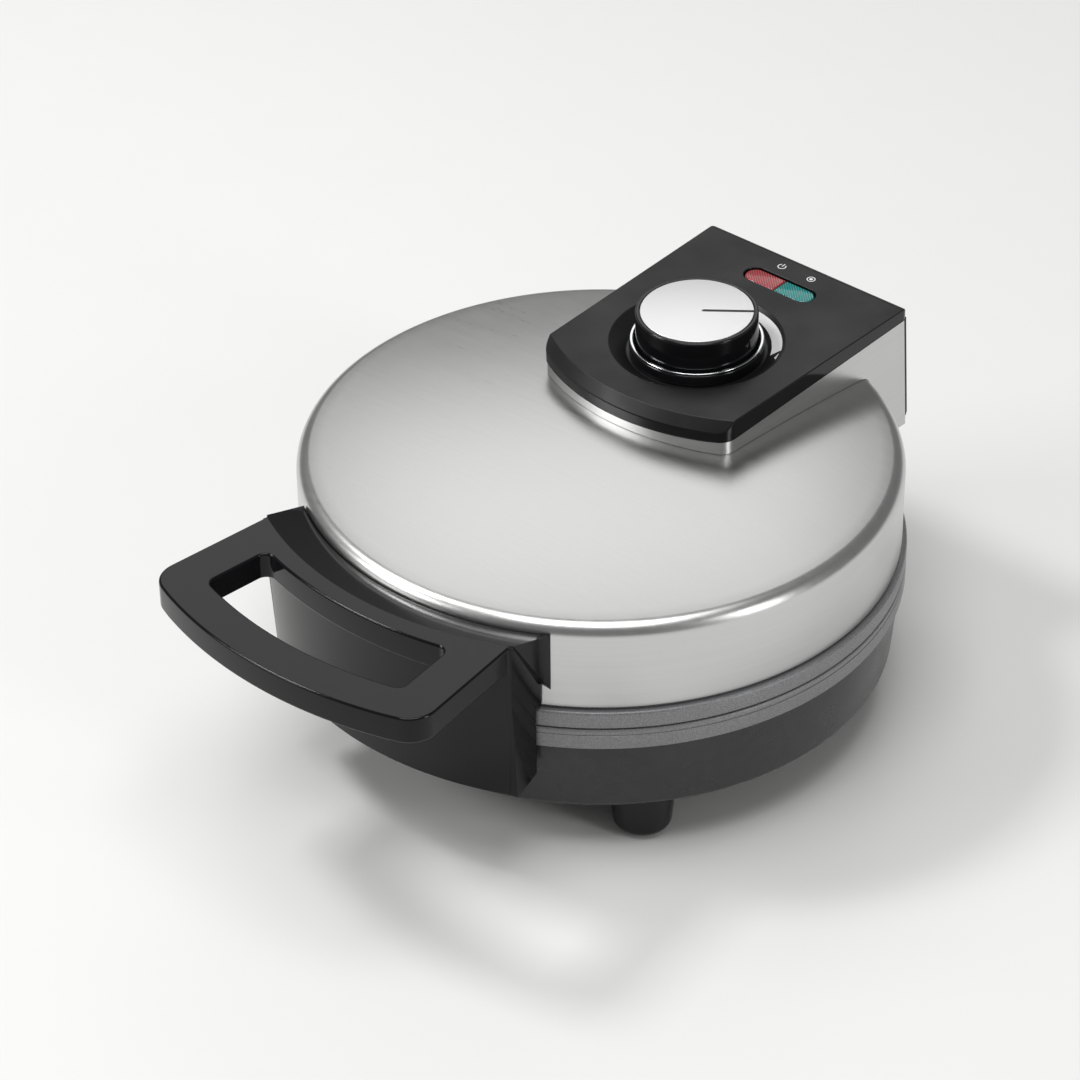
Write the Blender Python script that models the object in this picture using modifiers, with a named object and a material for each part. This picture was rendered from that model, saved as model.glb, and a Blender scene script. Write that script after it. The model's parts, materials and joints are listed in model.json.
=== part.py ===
"""Round Belgian waffle maker: a hinged steel lid over a black base, with a handle at the front and a
control housing over the hinge. Metres, +Z up, handle towards -Y, lid and knob closed and at rest.

Every piece is drawn around the vertical axis of the round body, and the empty "body_axis" then sets
that axis behind the middle of the whole length, so that the origin is the middle of the footprint."""

import math

import bmesh
import bpy
from mathutils import Matrix

# Sizes, in metres ---------------------------------------------------------------------------------
GAP = 0.0003  # between touching pieces
FULL_STEPS = 48  # facets of a large turned piece
SMALL_STEPS = 16  # facets of a small turned piece
DIAL_STEPS = 36  # facets of the dial and the knob
SCREW_STEPS = 10  # facets of a screw

# Round body
LID_RADIUS = 0.1120
LID_SHEET = 0.0008
SKIRT_HEIGHT = 0.0353
DOME_RISE = 0.0060
RIM_FILLET = 0.0056
BAND_OVERHANG = 0.0019
UPPER_BAND_HEIGHT = 0.0069
LOWER_BAND_HEIGHT = 0.0086
PARTING_GAP = 0.0006
SKIRT_GAP = 0.0008
BASE_HEIGHT = 0.0294
BASE_OVERHANG = 0.0004  # beyond the skirt
BASE_DRAFT = 0.0026  # from the shell's top to its foot
BASE_TOP_RADIUS = LID_RADIUS + BASE_OVERHANG
BASE_FOOT_RADIUS = BASE_TOP_RADIUS - BASE_DRAFT
BASE_WALL = 0.0025
BASE_FLOOR = 0.0025
BASE_FILLET = 0.0025

# Feet
FOOT_HEIGHT = 0.0200
FOOT_INSET = 0.0148
FOOT_CIRCLE = BASE_FOOT_RADIUS - FOOT_INSET
FOOT_ANGLE = math.radians(50)  # from the handle's direction, and the same from the hinge's
FOOT_TOP_RADIUS = 0.0121
FOOT_LOW_RADIUS = 0.0106
FOOT_ROUNDING = 0.0032
PAD_RADIUS = 0.0060
PAD_HEIGHT = 0.0027
PAD_STAND_OUT = 0.0010
FOOT_BORE = 0.0050
BASE_SCREW_RADIUS = 0.0018
BASE_SCREW_HEAD = 0.0038
BASE_SCREW_HEAD_HEIGHT = 0.0026
BASE_SCREW_SEAT = 0.0100
BASE_SCREW_REACH = 0.0360
BOSS_RADIUS = 0.0045

# Baking plates: a cast ring around a grid insert, the upper one a mirror image of the lower
RIM_WIDTH = 0.0214  # from the cavity to the skirt
CAVITY_RADIUS = LID_RADIUS - RIM_WIDTH
CAVITY_DEPTH = 0.0130
RING_FLANGE = 0.0040
RING_WALL = 0.0034
LIP_THICKNESS = 0.0030
LIP_WIDTH = 0.0086
SPIGOT_WALL = 0.0024
LOWER_SPIGOT_HEIGHT = 0.0030
UPPER_SPIGOT_HEIGHT = 0.0192
GRID_THICKNESS = 0.0030
POST_PITCH = 0.0190
POST_FOOT = 0.0145
POST_TOP = 0.0120
POST_HEIGHT = 0.0108
POST_ROWS = 4
RIDGE_WIDTH = 0.0025
RIDGE_HEIGHT = 0.0070

# Heating
HEATER_INSET = 0.0286
HEATER_CIRCLE = CAVITY_RADIUS - HEATER_INSET
HEATER_TUBE = 0.0033
HEATER_END_OFFSET = 0.0129  # of each end from the middle
HEATER_GAP_HALF_ANGLE = math.asin(HEATER_END_OFFSET / HEATER_CIRCLE)
HEATER_LEG = 0.0110
CLIP_SHEET = 0.0010
CLIP_PLAY = 0.0008  # the tube curves away from the straight strap
CLIP_FLANGE = 0.0050
CLIP_WIDTH = 0.0090
REFLECTOR_SHEET = 0.0006
REFLECTOR_DEPTH = 0.0065
REFLECTOR_FLANGE = 0.0050
REFLECTOR_OVERLAP = 0.0030
TERMINAL_SLOT_WIDTH = 0.0420
TERMINAL_SLOT_LENGTH = 0.0140
TERMINAL_BLOCK_SIZE = (0.0300, 0.0130, 0.0080)
TERMINAL_BLOCK_INSET = 0.0238
TERMINAL_BLOCK_PLACE = BASE_FOOT_RADIUS - TERMINAL_BLOCK_INSET
TERMINAL_WELL_RADIUS = 0.0022
TERMINAL_WELL_DEPTH = 0.0050

# Hinge
HINGE_CLEARANCE = 0.0011
EAR_RADIUS = 0.0055
ARM_EYE_RADIUS = 0.0052
HINGE_PIN_RADIUS = 0.0022
HINGE_PIN_HEAD = 0.0036
HINGE_PIN_HEAD_HEIGHT = 0.0016
HINGE_SIDE_PLAY = 0.0005
ARM_INNER = 0.0215
ARM_WIDTH = 0.0090
ARM_HEIGHT = 0.0324
ARM_HEEL_HEIGHT = 0.0054
ARM_SHOULDER_HEIGHT = 0.0088
EAR_WIDTH = 0.0080
BRACKET_DROP = 0.0116  # from the hinge axis to the bracket's bar
BRACKET_BAR_HEIGHT = 0.0180
BRACKET_DEPTH = 0.0070
LID_OPEN_ANGLE = math.radians(100)
STOP_MARGIN = math.radians(1)
SMALL_SCREW_RADIUS = 0.0016
SMALL_SCREW_HEAD = 0.0032
SMALL_SCREW_HEAD_HEIGHT = 0.0020
BRACKET_SCREW_ANGLE = math.radians(10)
BRACKET_SCREW_DROP = 0.0050  # below the bar's top
BRACKET_SCREW_REACH = 0.0060
LID_SCREW_RISE = 0.0120  # above the upper band
HANDLE_SCREW_ANGLE = math.radians(15)
HANDLE_SCREW_REACH = 0.0090
ARM_SCREW_REACH = 0.0070

# Cord inlet
INLET_DROP = 0.0095  # below the bar's top
INLET_BODY_RADIUS = 0.0052
INLET_BORE = 0.0036
INLET_FLANGE_RADIUS = 0.0078
INLET_FLANGE = 0.0020

# Handle
HANDLE_STAND = 0.0020
HANDLE_THICKNESS = 0.0105
HANDLE_LENGTH = 0.0669  # beyond the skirt
HANDLE_REACH = LID_RADIUS + HANDLE_LENGTH
HANDLE_ROOT_HALF_WIDTH = 0.0588
HANDLE_FRONT_HALF_WIDTH = 0.0657
HANDLE_ROOT_STAND = 0.0022
HANDLE_ROOT_PLACE = LID_RADIUS + HANDLE_ROOT_STAND
HANDLE_BOW = 0.0129  # of the grip plate's front edge
HANDLE_CORNER_PLACE = HANDLE_REACH - HANDLE_BOW
HANDLE_CORNER_RADIUS = 0.0110
CREASE_STAND = 0.0168  # this and the next two beyond the skirt
APRON_STAND = 0.0180
APRON_FOOT_STAND = 0.0146
CREASE_RADIUS = LID_RADIUS + CREASE_STAND
APRON_TOP_RADIUS = LID_RADIUS + APRON_STAND
APRON_FOOT_RADIUS = LID_RADIUS + APRON_FOOT_STAND
APRON_OVERLAP = 0.0136  # down over the base
APRON_FOOT_RISE = 0.0034
APRON_CLEARANCE = 0.0013
APRON_WALL = 0.0030
COLLAR_MARGIN = 0.0006
COLLAR_HALF_WIDTH = HANDLE_ROOT_HALF_WIDTH + COLLAR_MARGIN
COLLAR_EDGE_DROP = 0.0039  # below the lid's rim
FAIRING_SLOPE = math.radians(57.8)
WINDOW_REAR_STAND = 0.0057  # beyond the apron
WINDOW_REAR_BOW = 0.0061
WINDOW_REAR_HALF_WIDTH = 0.0436
GRIP_WIDTH = 0.0159  # in the middle
GRIP_CORNER_WIDTH = 0.0098
WINDOW_FRONT_HALF_WIDTH = 0.0464
WINDOW_REAR_PLACE = APRON_TOP_RADIUS + WINDOW_REAR_STAND
WINDOW_REAR_CORNER = (WINDOW_REAR_HALF_WIDTH, WINDOW_REAR_PLACE - WINDOW_REAR_BOW)
WINDOW_FRONT_PLACE = HANDLE_REACH - GRIP_WIDTH
WINDOW_FRONT_CORNER = (WINDOW_FRONT_HALF_WIDTH, HANDLE_CORNER_PLACE - GRIP_CORNER_WIDTH)
WINDOW_CORNER_RADIUS = 0.0035

# Control housing and panel; the panel's own frame has its top face at z = 0
PANEL_STAND = 0.0184
PANEL_TILT = 0.0197
PANEL_THICKNESS = 0.0048
PANEL_FRONT_HALF_WIDTH = 0.0447
PANEL_REAR_HALF_WIDTH = 0.0469
HOUSING_OVERHANG = 0.0096  # beyond the skirt
HOUSING_REAR = LID_RADIUS + HOUSING_OVERHANG
PANEL_CORNER_RUN = 0.1016  # this and the next in front of the housing's rear
PANEL_ARC_RUN = 0.1119
PANEL_FRONT_CORNER = HOUSING_REAR - PANEL_CORNER_RUN
PANEL_CORNER_RADIUS = 0.0050
PANEL_REAR_CORNER_RADIUS = 0.0018
PANEL_ARC_RADIUS = 0.0840
PANEL_ARC_FRONT = HOUSING_REAR - PANEL_ARC_RUN
PANEL_BEVEL_RUN = 0.0034
PANEL_BEVEL_DROP = 0.0039
PANEL_REAR_ROUNDING = 0.0042
HOUSING_INSET = 0.0006
HOUSING_SHEET = 0.0010
HOUSING_LIFT = 0.0015  # above the skirt's lower edge
BACK_LEAN = math.radians(4.8)  # the rear runs out as it comes down
BACK_COVER_THICKNESS = 0.0015
BACK_SCREW_REACH = 0.0065  # into the hinge arm
BACK_SCREW_DROP = 0.0285  # below the panel, along the cover
WIRE_OPENING = (0.0300, HOUSING_REAR - 0.0916, HOUSING_REAR - 0.0366)  # half-width, front, rear

# Dial and knob
KNOB_RUN = 0.0668  # in front of the housing's rear
KNOB_PLACE = HOUSING_REAR - KNOB_RUN
KNOB_RADIUS = 0.0230
DIAL_COLLAR_STAND = 0.0024
DISH_FLOOR_MARGIN = 0.0011
DISH_SLOPE_RUN = 0.0065
COLLAR_RADIUS = KNOB_RADIUS + DIAL_COLLAR_STAND
DISH_FLOOR_RADIUS = COLLAR_RADIUS + DISH_FLOOR_MARGIN
DISH_RADIUS = DISH_FLOOR_RADIUS + DISH_SLOPE_RUN
DISH_DEPTH = 0.0045
DISH_WALL = 0.0020
COLLAR_WALL = 0.0018
COLLAR_HEIGHT = 0.0044
TRIM_WIDTH = 0.0012
TRIM_HEIGHT = 0.0006
KNOB_HEIGHT = 0.0129
KNOB_WALL = 0.0020
KNOB_DISC_INSET = 0.0018
KNOB_DISC_RADIUS = KNOB_RADIUS - KNOB_DISC_INSET
KNOB_DISC_DEPTH = 0.0012
KNOB_HUB_RADIUS = 0.0060
KNOB_SKIRT_CLEARANCE = 0.0006
POINTER_WIDTH = 0.0012
POINTER_DEPTH = 0.0005
POINTER_START = 0.0016
POINTER_ANGLE = math.radians(37.8)
SHAFT_RADIUS = 0.0030
SHAFT_FLAT = 0.0021

# Thermostat, lamps and lenses
THERMOSTAT_SIDE = 0.0260
THERMOSTAT_HEIGHT = 0.0110
BRACKET_SHEET = 0.0012
THERMOSTAT_BRACKET_WIDTH = 0.0180
THERMOSTAT_BRACKET_FLANGE = 0.0080
FUSE_RADIUS = 0.0022
FUSE_LENGTH = 0.0140
FUSE_PLACE = (0.0300, 0.0100)
LENS_RUN = 0.0176  # in front of the housing's rear
LENS_PLACE = HOUSING_REAR - LENS_RUN
LENS_SLOT_LENGTH = 0.0325
LENS_SLOT_WIDTH = 0.0095
LENS_SINK = 0.0010
LENS_PLAY = 0.0005
LAMP_RADIUS = 0.0026
LAMP_LENGTH = 0.0064
LAMP_SPACING = 0.0160
LAMP_HOLDER_SIZE = (0.0360, 0.0120, 0.0078)

# Levels and radii that follow from the sizes ------------------------------------------------------
FLOOR_TOP = FOOT_HEIGHT + BASE_FLOOR
BASE_TOP = FOOT_HEIGHT + BASE_HEIGHT
LOWER_RING_BOTTOM = BASE_TOP + GAP
LOWER_RING_TOP = LOWER_RING_BOTTOM + LOWER_BAND_HEIGHT
HINGE_HEIGHT = LOWER_RING_TOP + PARTING_GAP / 2
UPPER_RING_BOTTOM = LOWER_RING_TOP + PARTING_GAP
UPPER_BAND_TOP = UPPER_RING_BOTTOM + UPPER_BAND_HEIGHT
SKIRT_BOTTOM = UPPER_BAND_TOP + SKIRT_GAP
RIM_HEIGHT = SKIRT_BOTTOM + SKIRT_HEIGHT
RIM_RADIUS = LID_RADIUS - RIM_FILLET
BAND_RADIUS = LID_RADIUS + BAND_OVERHANG
GRID_RADIUS = CAVITY_RADIUS - GAP
LIP_RADIUS = CAVITY_RADIUS - LIP_WIDTH
LOWER_GRID_TOP = LOWER_RING_TOP - CAVITY_DEPTH
UPPER_GRID_BOTTOM = UPPER_RING_BOTTOM + CAVITY_DEPTH
LOWER_GRID_BOTTOM = LOWER_GRID_TOP - GRID_THICKNESS
UPPER_GRID_TOP = UPPER_GRID_BOTTOM + GRID_THICKNESS
HINGE_PLACE = BAND_RADIUS + HINGE_CLEARANCE + EAR_RADIUS
ARM_MIDDLE = ARM_INNER + ARM_WIDTH / 2
PANEL_REAR = HOUSING_REAR + GAP + BACK_COVER_THICKNESS
BACK_SCREW_SEAT = 2 * GAP + BACK_COVER_THICKNESS
SCREW_HEAD_SHARE = (BACK_SCREW_SEAT + SMALL_SCREW_HEAD_HEIGHT) * math.cos(BACK_LEAN)
REAR_REACH = HOUSING_REAR + SCREW_HEAD_SHARE + BACK_SCREW_DROP * math.sin(BACK_LEAN)
BODY_AXIS_PLACE = (HANDLE_REACH - REAR_REACH) / 2
HANDLE_TOP = RIM_HEIGHT + HANDLE_STAND
HANDLE_UNDERSIDE = HANDLE_TOP - HANDLE_THICKNESS
APRON_INNER_RADIUS = BAND_RADIUS + APRON_CLEARANCE
PANEL_HEIGHT = RIM_HEIGHT + PANEL_STAND
HOUSING_TOP = PANEL_HEIGHT - PANEL_THICKNESS
PANEL_ARC_CENTRE = PANEL_ARC_FRONT + PANEL_ARC_RADIUS
DISH_UNDERSIDE = -DISH_DEPTH - DISH_WALL
EAR_INNER = ARM_INNER + ARM_WIDTH + HINGE_SIDE_PLAY
EAR_OUTER = EAR_INNER + EAR_WIDTH
BRACKET_TOP = HINGE_HEIGHT - BRACKET_DROP
BRACKET_SCREW_HEIGHT = BRACKET_TOP - BRACKET_SCREW_DROP
LID_SCREW_HEIGHT = UPPER_BAND_TOP + LID_SCREW_RISE
INLET_HEIGHT = BRACKET_TOP - INLET_DROP
APRON_FOOT_HEIGHT = BASE_TOP - APRON_OVERLAP
COLLAR_EDGE_HEIGHT = RIM_HEIGHT - COLLAR_EDGE_DROP
HOUSING_BOTTOM = SKIRT_BOTTOM + HOUSING_LIFT

# Materials: colour, roughness, metallic -----------------------------------------------------------
LOOKS = {
    "brushed_steel": ((0.62, 0.62, 0.61), 0.30, 1.0),
    "cast_coating": ((0.085, 0.085, 0.088), 0.50, 0.3),
    "black_plastic": ((0.012, 0.012, 0.013), 0.35, 0.0),
    "gloss_black": ((0.006, 0.006, 0.007), 0.12, 0.0),
    "black_rubber": ((0.015, 0.015, 0.015), 0.80, 0.0),
    "zinc_steel": ((0.55, 0.56, 0.58), 0.38, 1.0),
    "heater_sheath": ((0.16, 0.15, 0.14), 0.55, 1.0),
    "aluminium_sheet": ((0.74, 0.75, 0.76), 0.30, 1.0),
    "white_ceramic": ((0.80, 0.79, 0.75), 0.45, 0.0),
    "silver_disc": ((0.80, 0.80, 0.80), 0.40, 0.6),
    "chrome": ((0.80, 0.81, 0.82), 0.08, 1.0),
    "red_lens": ((0.55, 0.04, 0.05), 0.15, 0.0),
    "green_lens": ((0.02, 0.38, 0.36), 0.15, 0.0),
    "lamp_glass": ((0.85, 0.80, 0.72), 0.10, 0.0),
}


# Scene helpers ------------------------------------------------------------------------------------
def clear_scene():
    for old in list(bpy.data.objects):
        bpy.data.objects.remove(old, do_unlink=True)


def collection(name):
    made = bpy.data.collections.new(name)
    bpy.context.scene.collection.children.link(made)
    return made


def make_material(name, look):
    colour, roughness, metallic = LOOKS[look]
    made = bpy.data.materials.new(name)
    made.use_nodes = True
    shader = made.node_tree.nodes["Principled BSDF"]
    shader.inputs["Base Color"].default_value = (*colour, 1.0)
    shader.inputs["Roughness"].default_value = roughness
    shader.inputs["Metallic"].default_value = metallic
    made.diffuse_color = (*colour, 1.0)
    return made


def new_object(name, data, parent):
    made = bpy.data.objects.new(name, data)
    CUTTERS.objects.link(made)
    made.parent = parent
    return made


def finish(piece, look):
    """Moves a drawn shape from the helpers to the parts, and gives it its own material."""
    CUTTERS.objects.unlink(piece)
    PARTS.objects.link(piece)
    piece.data.materials.clear()
    piece.data.materials.append(make_material(piece.name, look))
    piece.data.shade_smooth()
    piece.data.set_sharp_from_angle(angle=math.radians(30))
    return piece


def empty(name, parent, location, tilt=0.0):
    made = bpy.data.objects.new(name, None)
    PARTS.objects.link(made)
    made.parent = parent
    made.location = location
    made.rotation_euler = (tilt, 0.0, 0.0)
    return made


def helper(shape):
    """Marks a shape as a cutter: it is used by a Boolean and never shown."""
    shape.hide_render = True
    shape.display_type = "WIRE"
    return shape


def boolean(piece, other, operation):
    modifier = piece.modifiers.new(f"{operation.lower()} {other.name}", "BOOLEAN")
    modifier.operation = operation
    modifier.object = helper(other)
    modifier.solver = "EXACT"


def cut(piece, *others):
    for other in others:
        boolean(piece, other, "DIFFERENCE")


def join(piece, *others):
    for other in others:
        boolean(piece, other, "UNION")


def keep(piece, other):
    boolean(piece, other, "INTERSECT")


# Shape helpers ------------------------------------------------------------------------------------
def mesh_from(build, name, parent):
    """A mesh object whose faces come from one bmesh operator."""
    shape = bmesh.new()
    build(shape)
    data = bpy.data.meshes.new(name)
    shape.to_mesh(data)
    shape.free()
    return new_object(name, data, parent)


def block(name, parent, low, high):
    size = [top - bottom for bottom, top in zip(low, high)]
    centre = [(top + bottom) / 2 for bottom, top in zip(low, high)]

    def build(shape):
        bmesh.ops.create_cube(shape, size=1.0)
        bmesh.ops.scale(shape, vec=size, verts=shape.verts)
        bmesh.ops.translate(shape, vec=centre, verts=shape.verts)

    return mesh_from(build, name, parent)


def rod(name, parent, radius, low, high, steps=SCREW_STEPS, top_radius=None):
    """An upright cylinder or cone around the parent's Z axis, from height low to height high."""

    def build(shape):
        bmesh.ops.create_cone(
            shape,
            cap_ends=True,
            segments=steps,
            radius1=radius,
            radius2=radius if top_radius is None else top_radius,
            depth=high - low,
        )
        bmesh.ops.translate(shape, vec=(0, 0, (low + high) / 2), verts=shape.verts)

    return mesh_from(build, name, parent)


def turned(name, parent, profile, steps=FULL_STEPS, closed=True, sheet=0.0):
    """A profile of (radius, height) points, running down its outer side, turned about the Z axis."""
    data = bpy.data.meshes.new(name)
    points = [(radius, 0.0, height) for radius, height in profile]
    edges = [(i, i + 1) for i in range(len(points) - 1)]
    if closed:
        edges.append((len(points) - 1, 0))
    data.from_pydata(points, edges, [])
    made = new_object(name, data, parent)
    screw = made.modifiers.new("turn", "SCREW")
    screw.steps = steps
    screw.render_steps = steps
    screw.use_merge_vertices = True
    screw.merge_threshold = 0.000001
    if sheet:
        solidify = made.modifiers.new("sheet", "SOLIDIFY")
        solidify.thickness = sheet
        solidify.offset = -1.0
        solidify.use_even_offset = True
    return made


def capped_mesh(made):
    """Replaces a curve object by the mesh that it evaluates to, with its caps welded on."""
    bpy.context.view_layer.update()
    graph = bpy.context.evaluated_depsgraph_get()
    data = bpy.data.meshes.new_from_object(made.evaluated_get(graph))
    shape = bmesh.new()
    shape.from_mesh(data)
    bmesh.ops.remove_doubles(shape, verts=shape.verts, dist=0.000001)
    bmesh.ops.recalc_face_normals(shape, faces=shape.faces)
    shape.to_mesh(data)
    shape.free()
    name = made.name
    parent = made.parent
    place = made.matrix_basis.copy()
    bpy.data.objects.remove(made, do_unlink=True)
    solid = new_object(name, data, parent)
    solid.matrix_basis = place
    return solid


def plate(name, parent, outline, low, high):
    """A flat outline of (x, y) points, between the heights low and high."""
    curve = bpy.data.curves.new(name, "CURVE")
    curve.dimensions = "2D"
    curve.fill_mode = "BOTH"
    curve.extrude = (high - low) / 2
    spline = curve.splines.new("POLY")
    spline.points.add(len(outline) - 1)
    for point, (x, y) in zip(spline.points, outline):
        point.co = (x, y, 0.0, 1.0)
    spline.use_cyclic_u = True
    made = new_object(name, curve, parent)
    made.location = (0.0, 0.0, (low + high) / 2)
    return capped_mesh(made)


def side_plate(name, parent, outline, left, right):
    """A flat outline of (y, z) points, between x = left and x = right."""
    made = plate(name, parent, outline, -(right - left) / 2, (right - left) / 2)
    made.location = ((left + right) / 2, 0.0, 0.0)
    made.rotation_euler = (math.pi / 2, 0.0, math.pi / 2)
    return made


def front_plate(name, parent, outline, front, rear):
    """A flat outline of (x, z) points, between y = front and y = rear."""
    made = plate(name, parent, outline, -(rear - front) / 2, (rear - front) / 2)
    made.location = (0.0, (front + rear) / 2, 0.0)
    made.rotation_euler = (math.pi / 2, 0.0, 0.0)
    return made


def arc(centre, radius, start, end, count):
    """Points of an arc, start and end included, with its angles in radians from +X."""
    points = []
    for i in range(count + 1):
        angle = start + (end - start) * i / count
        points.append((centre[0] + radius * math.cos(angle), centre[1] + radius * math.sin(angle)))
    return points


def rounded(corners, count=4):
    """An outline whose (x, y, radius) corners are rounded off, each by an arc of its radius."""
    points = []
    for i, (x, y, radius) in enumerate(corners):
        if not radius:
            points.append((x, y))
            continue
        before = corners[i - 1]
        after = corners[(i + 1) % len(corners)]
        back = math.atan2(before[1] - y, before[0] - x)
        ahead = math.atan2(after[1] - y, after[0] - x)
        half = ((ahead - back + math.pi) % (2 * math.pi) - math.pi) / 2
        middle = back + half
        centre_distance = radius / math.sin(abs(half))
        centre = (x + centre_distance * math.cos(middle), y + centre_distance * math.sin(middle))
        swing = (math.pi / 2 - abs(half)) * (1 if half > 0 else -1)
        start = middle + math.pi + swing
        points += arc(centre, radius, start, start - 2 * swing, count)
    return points


def bow(half_width, place, sagitta, count):
    """Points of a shallow arc that bulges towards -Y, from x = -half_width to x = half_width.

    Its middle is at y = -place and its ends lie the sagitta behind that."""
    radius = (half_width**2 + sagitta**2) / (2 * sagitta)
    reach = math.asin(half_width / radius)
    centre = (0.0, radius - place)
    return arc(centre, radius, -math.pi / 2 - reach, -math.pi / 2 + reach, count)


def slot(length, width, centre, count=8):
    """The outline of a slot with round ends, its length along X."""
    radius = width / 2
    straight = length / 2 - radius
    right = arc((centre[0] + straight, centre[1]), radius, -math.pi / 2, math.pi / 2, count)
    left = arc((centre[0] - straight, centre[1]), radius, math.pi / 2, 3 * math.pi / 2, count)
    return right + left


def screw(name, radius, head_radius, head_height, length, parent):
    """A screw along its own +Z: the head below z = 0, the shank above it."""
    profile = [
        (0.0, length),
        (radius, length),
        (radius, 0.0),
        (head_radius, 0.0),
        (head_radius, -head_height * 0.6),
        (head_radius * 0.8, -head_height),
        (0.0, -head_height),
    ]
    return turned(name, parent, profile, SCREW_STEPS, closed=False)


def radial_place(angle, radius, height):
    """The place at this radius, with its angle from -Y towards +X."""
    return (radius * math.sin(angle), -radius * math.cos(angle), height)


def point_outwards(shape, angle, radius, height):
    """Lays a shape's own +Z along the outward direction at this angle from -Y towards +X."""
    shape.location = radial_place(angle, radius, height)
    shape.rotation_euler = (math.pi / 2, 0.0, angle)


def radial_hole(name, parent, angle, hole_radius, start, end, height):
    hole = rod(name, parent, hole_radius, 0.0, end - start)
    point_outwards(hole, angle, start, height)
    return hole


# Shared profiles ----------------------------------------------------------------------------------
def dome_height(radius):
    return RIM_HEIGHT + DOME_RISE * (1 - (radius / RIM_RADIUS) ** 2)


def lid_profile(outwards=0.0, dome_points=4, fillet_points=4):
    """The lid's outer line from its middle to the skirt's lower edge, moved outwards by a distance."""
    points = []
    for i in range(dome_points):
        radius = RIM_RADIUS * i / dome_points
        points.append((radius, dome_height(radius) + outwards))
    centre = (RIM_RADIUS, RIM_HEIGHT - RIM_FILLET)
    points += arc(centre, RIM_FILLET + outwards, math.pi / 2, 0.0, fillet_points)
    points.append((LID_RADIUS + outwards, SKIRT_BOTTOM))
    return points


def base_radius(height, inwards=0.0):
    share = (height - FOOT_HEIGHT) / BASE_HEIGHT
    return BASE_FOOT_RADIUS + (BASE_TOP_RADIUS - BASE_FOOT_RADIUS) * share - inwards


def foot_angles():
    return {
        "front_right": FOOT_ANGLE,
        "rear_right": math.pi - FOOT_ANGLE,
        "rear_left": math.pi + FOOT_ANGLE,
        "front_left": -FOOT_ANGLE,
    }


# Base ---------------------------------------------------------------------------------------------
def make_base_shell(axis):
    fillet_centre = (BASE_FOOT_RADIUS - BASE_FILLET, FOOT_HEIGHT + BASE_FILLET)
    profile = [(0.0, FLOOR_TOP), (base_radius(FLOOR_TOP, BASE_WALL), FLOOR_TOP)]
    profile.append((base_radius(BASE_TOP, BASE_WALL), BASE_TOP))
    profile.append((base_radius(BASE_TOP), BASE_TOP))
    profile += arc(fillet_centre, BASE_FILLET, 0.0, -math.pi / 2, 4)
    profile.append((0.0, FOOT_HEIGHT))
    shell = turned("base_shell", axis, profile, closed=False)
    for side, angle in foot_angles().items():
        hole = rod(f"cut_floor_{side}", axis, BASE_SCREW_RADIUS + GAP, 0.0, BASE_TOP)
        hole.location = radial_place(angle, FOOT_CIRCLE, 0.0)
        cut(shell, hole)
    cut(shell, inlet_hole("cut_shell_inlet", axis))
    for side, sign in (("left", -1), ("right", 1)):
        angle = math.pi + sign * BRACKET_SCREW_ANGLE
        start = BASE_FOOT_RADIUS - 3 * BASE_WALL
        end = BAND_RADIUS + BASE_WALL
        radius = SMALL_SCREW_RADIUS + GAP
        hole_name = f"cut_shell_screw_{side}"
        cut(shell, radial_hole(hole_name, axis, angle, radius, start, end, BRACKET_SCREW_HEIGHT))
    return finish(shell, "black_plastic")


def inlet_hole(name, axis):
    start = BASE_FOOT_RADIUS - 3 * BASE_WALL
    end = BAND_RADIUS + 2 * BRACKET_DEPTH
    return radial_hole(name, axis, math.pi, INLET_BODY_RADIUS + GAP, start, end, INLET_HEIGHT)


def make_feet(axis):
    for side, angle in foot_angles().items():
        x, y, _ = radial_place(angle, FOOT_CIRCLE, 0.0)
        top = FOOT_HEIGHT - GAP
        low_centre = (FOOT_LOW_RADIUS - FOOT_ROUNDING, PAD_STAND_OUT + FOOT_ROUNDING)
        recess_top = PAD_HEIGHT + GAP
        profile = [(BASE_SCREW_RADIUS + GAP, top), (FOOT_TOP_RADIUS, top)]
        profile += arc(low_centre, FOOT_ROUNDING, 0.0, -math.pi / 2, 4)
        profile += [
            (PAD_RADIUS + GAP, PAD_STAND_OUT),
            (PAD_RADIUS + GAP, recess_top),
            (FOOT_BORE, recess_top),
            (FOOT_BORE, BASE_SCREW_SEAT),
            (BASE_SCREW_RADIUS + GAP, BASE_SCREW_SEAT),
        ]
        foot = turned(f"foot_{side}", axis, profile, SMALL_STEPS)
        foot.location = (x, y, 0.0)
        finish(foot, "gloss_black")

        pad = rod(f"foot_pad_{side}", axis, PAD_RADIUS, 0.0, PAD_HEIGHT, SMALL_STEPS)
        pad.location = (x, y, 0.0)
        finish(pad, "black_rubber")

        seat = BASE_SCREW_SEAT - GAP
        length = BASE_SCREW_REACH - seat
        fixing = screw(
            f"base_screw_{side}", BASE_SCREW_RADIUS, BASE_SCREW_HEAD, BASE_SCREW_HEAD_HEIGHT, length, axis
        )
        fixing.location = (x, y, seat)
        finish(fixing, "zinc_steel")


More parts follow.
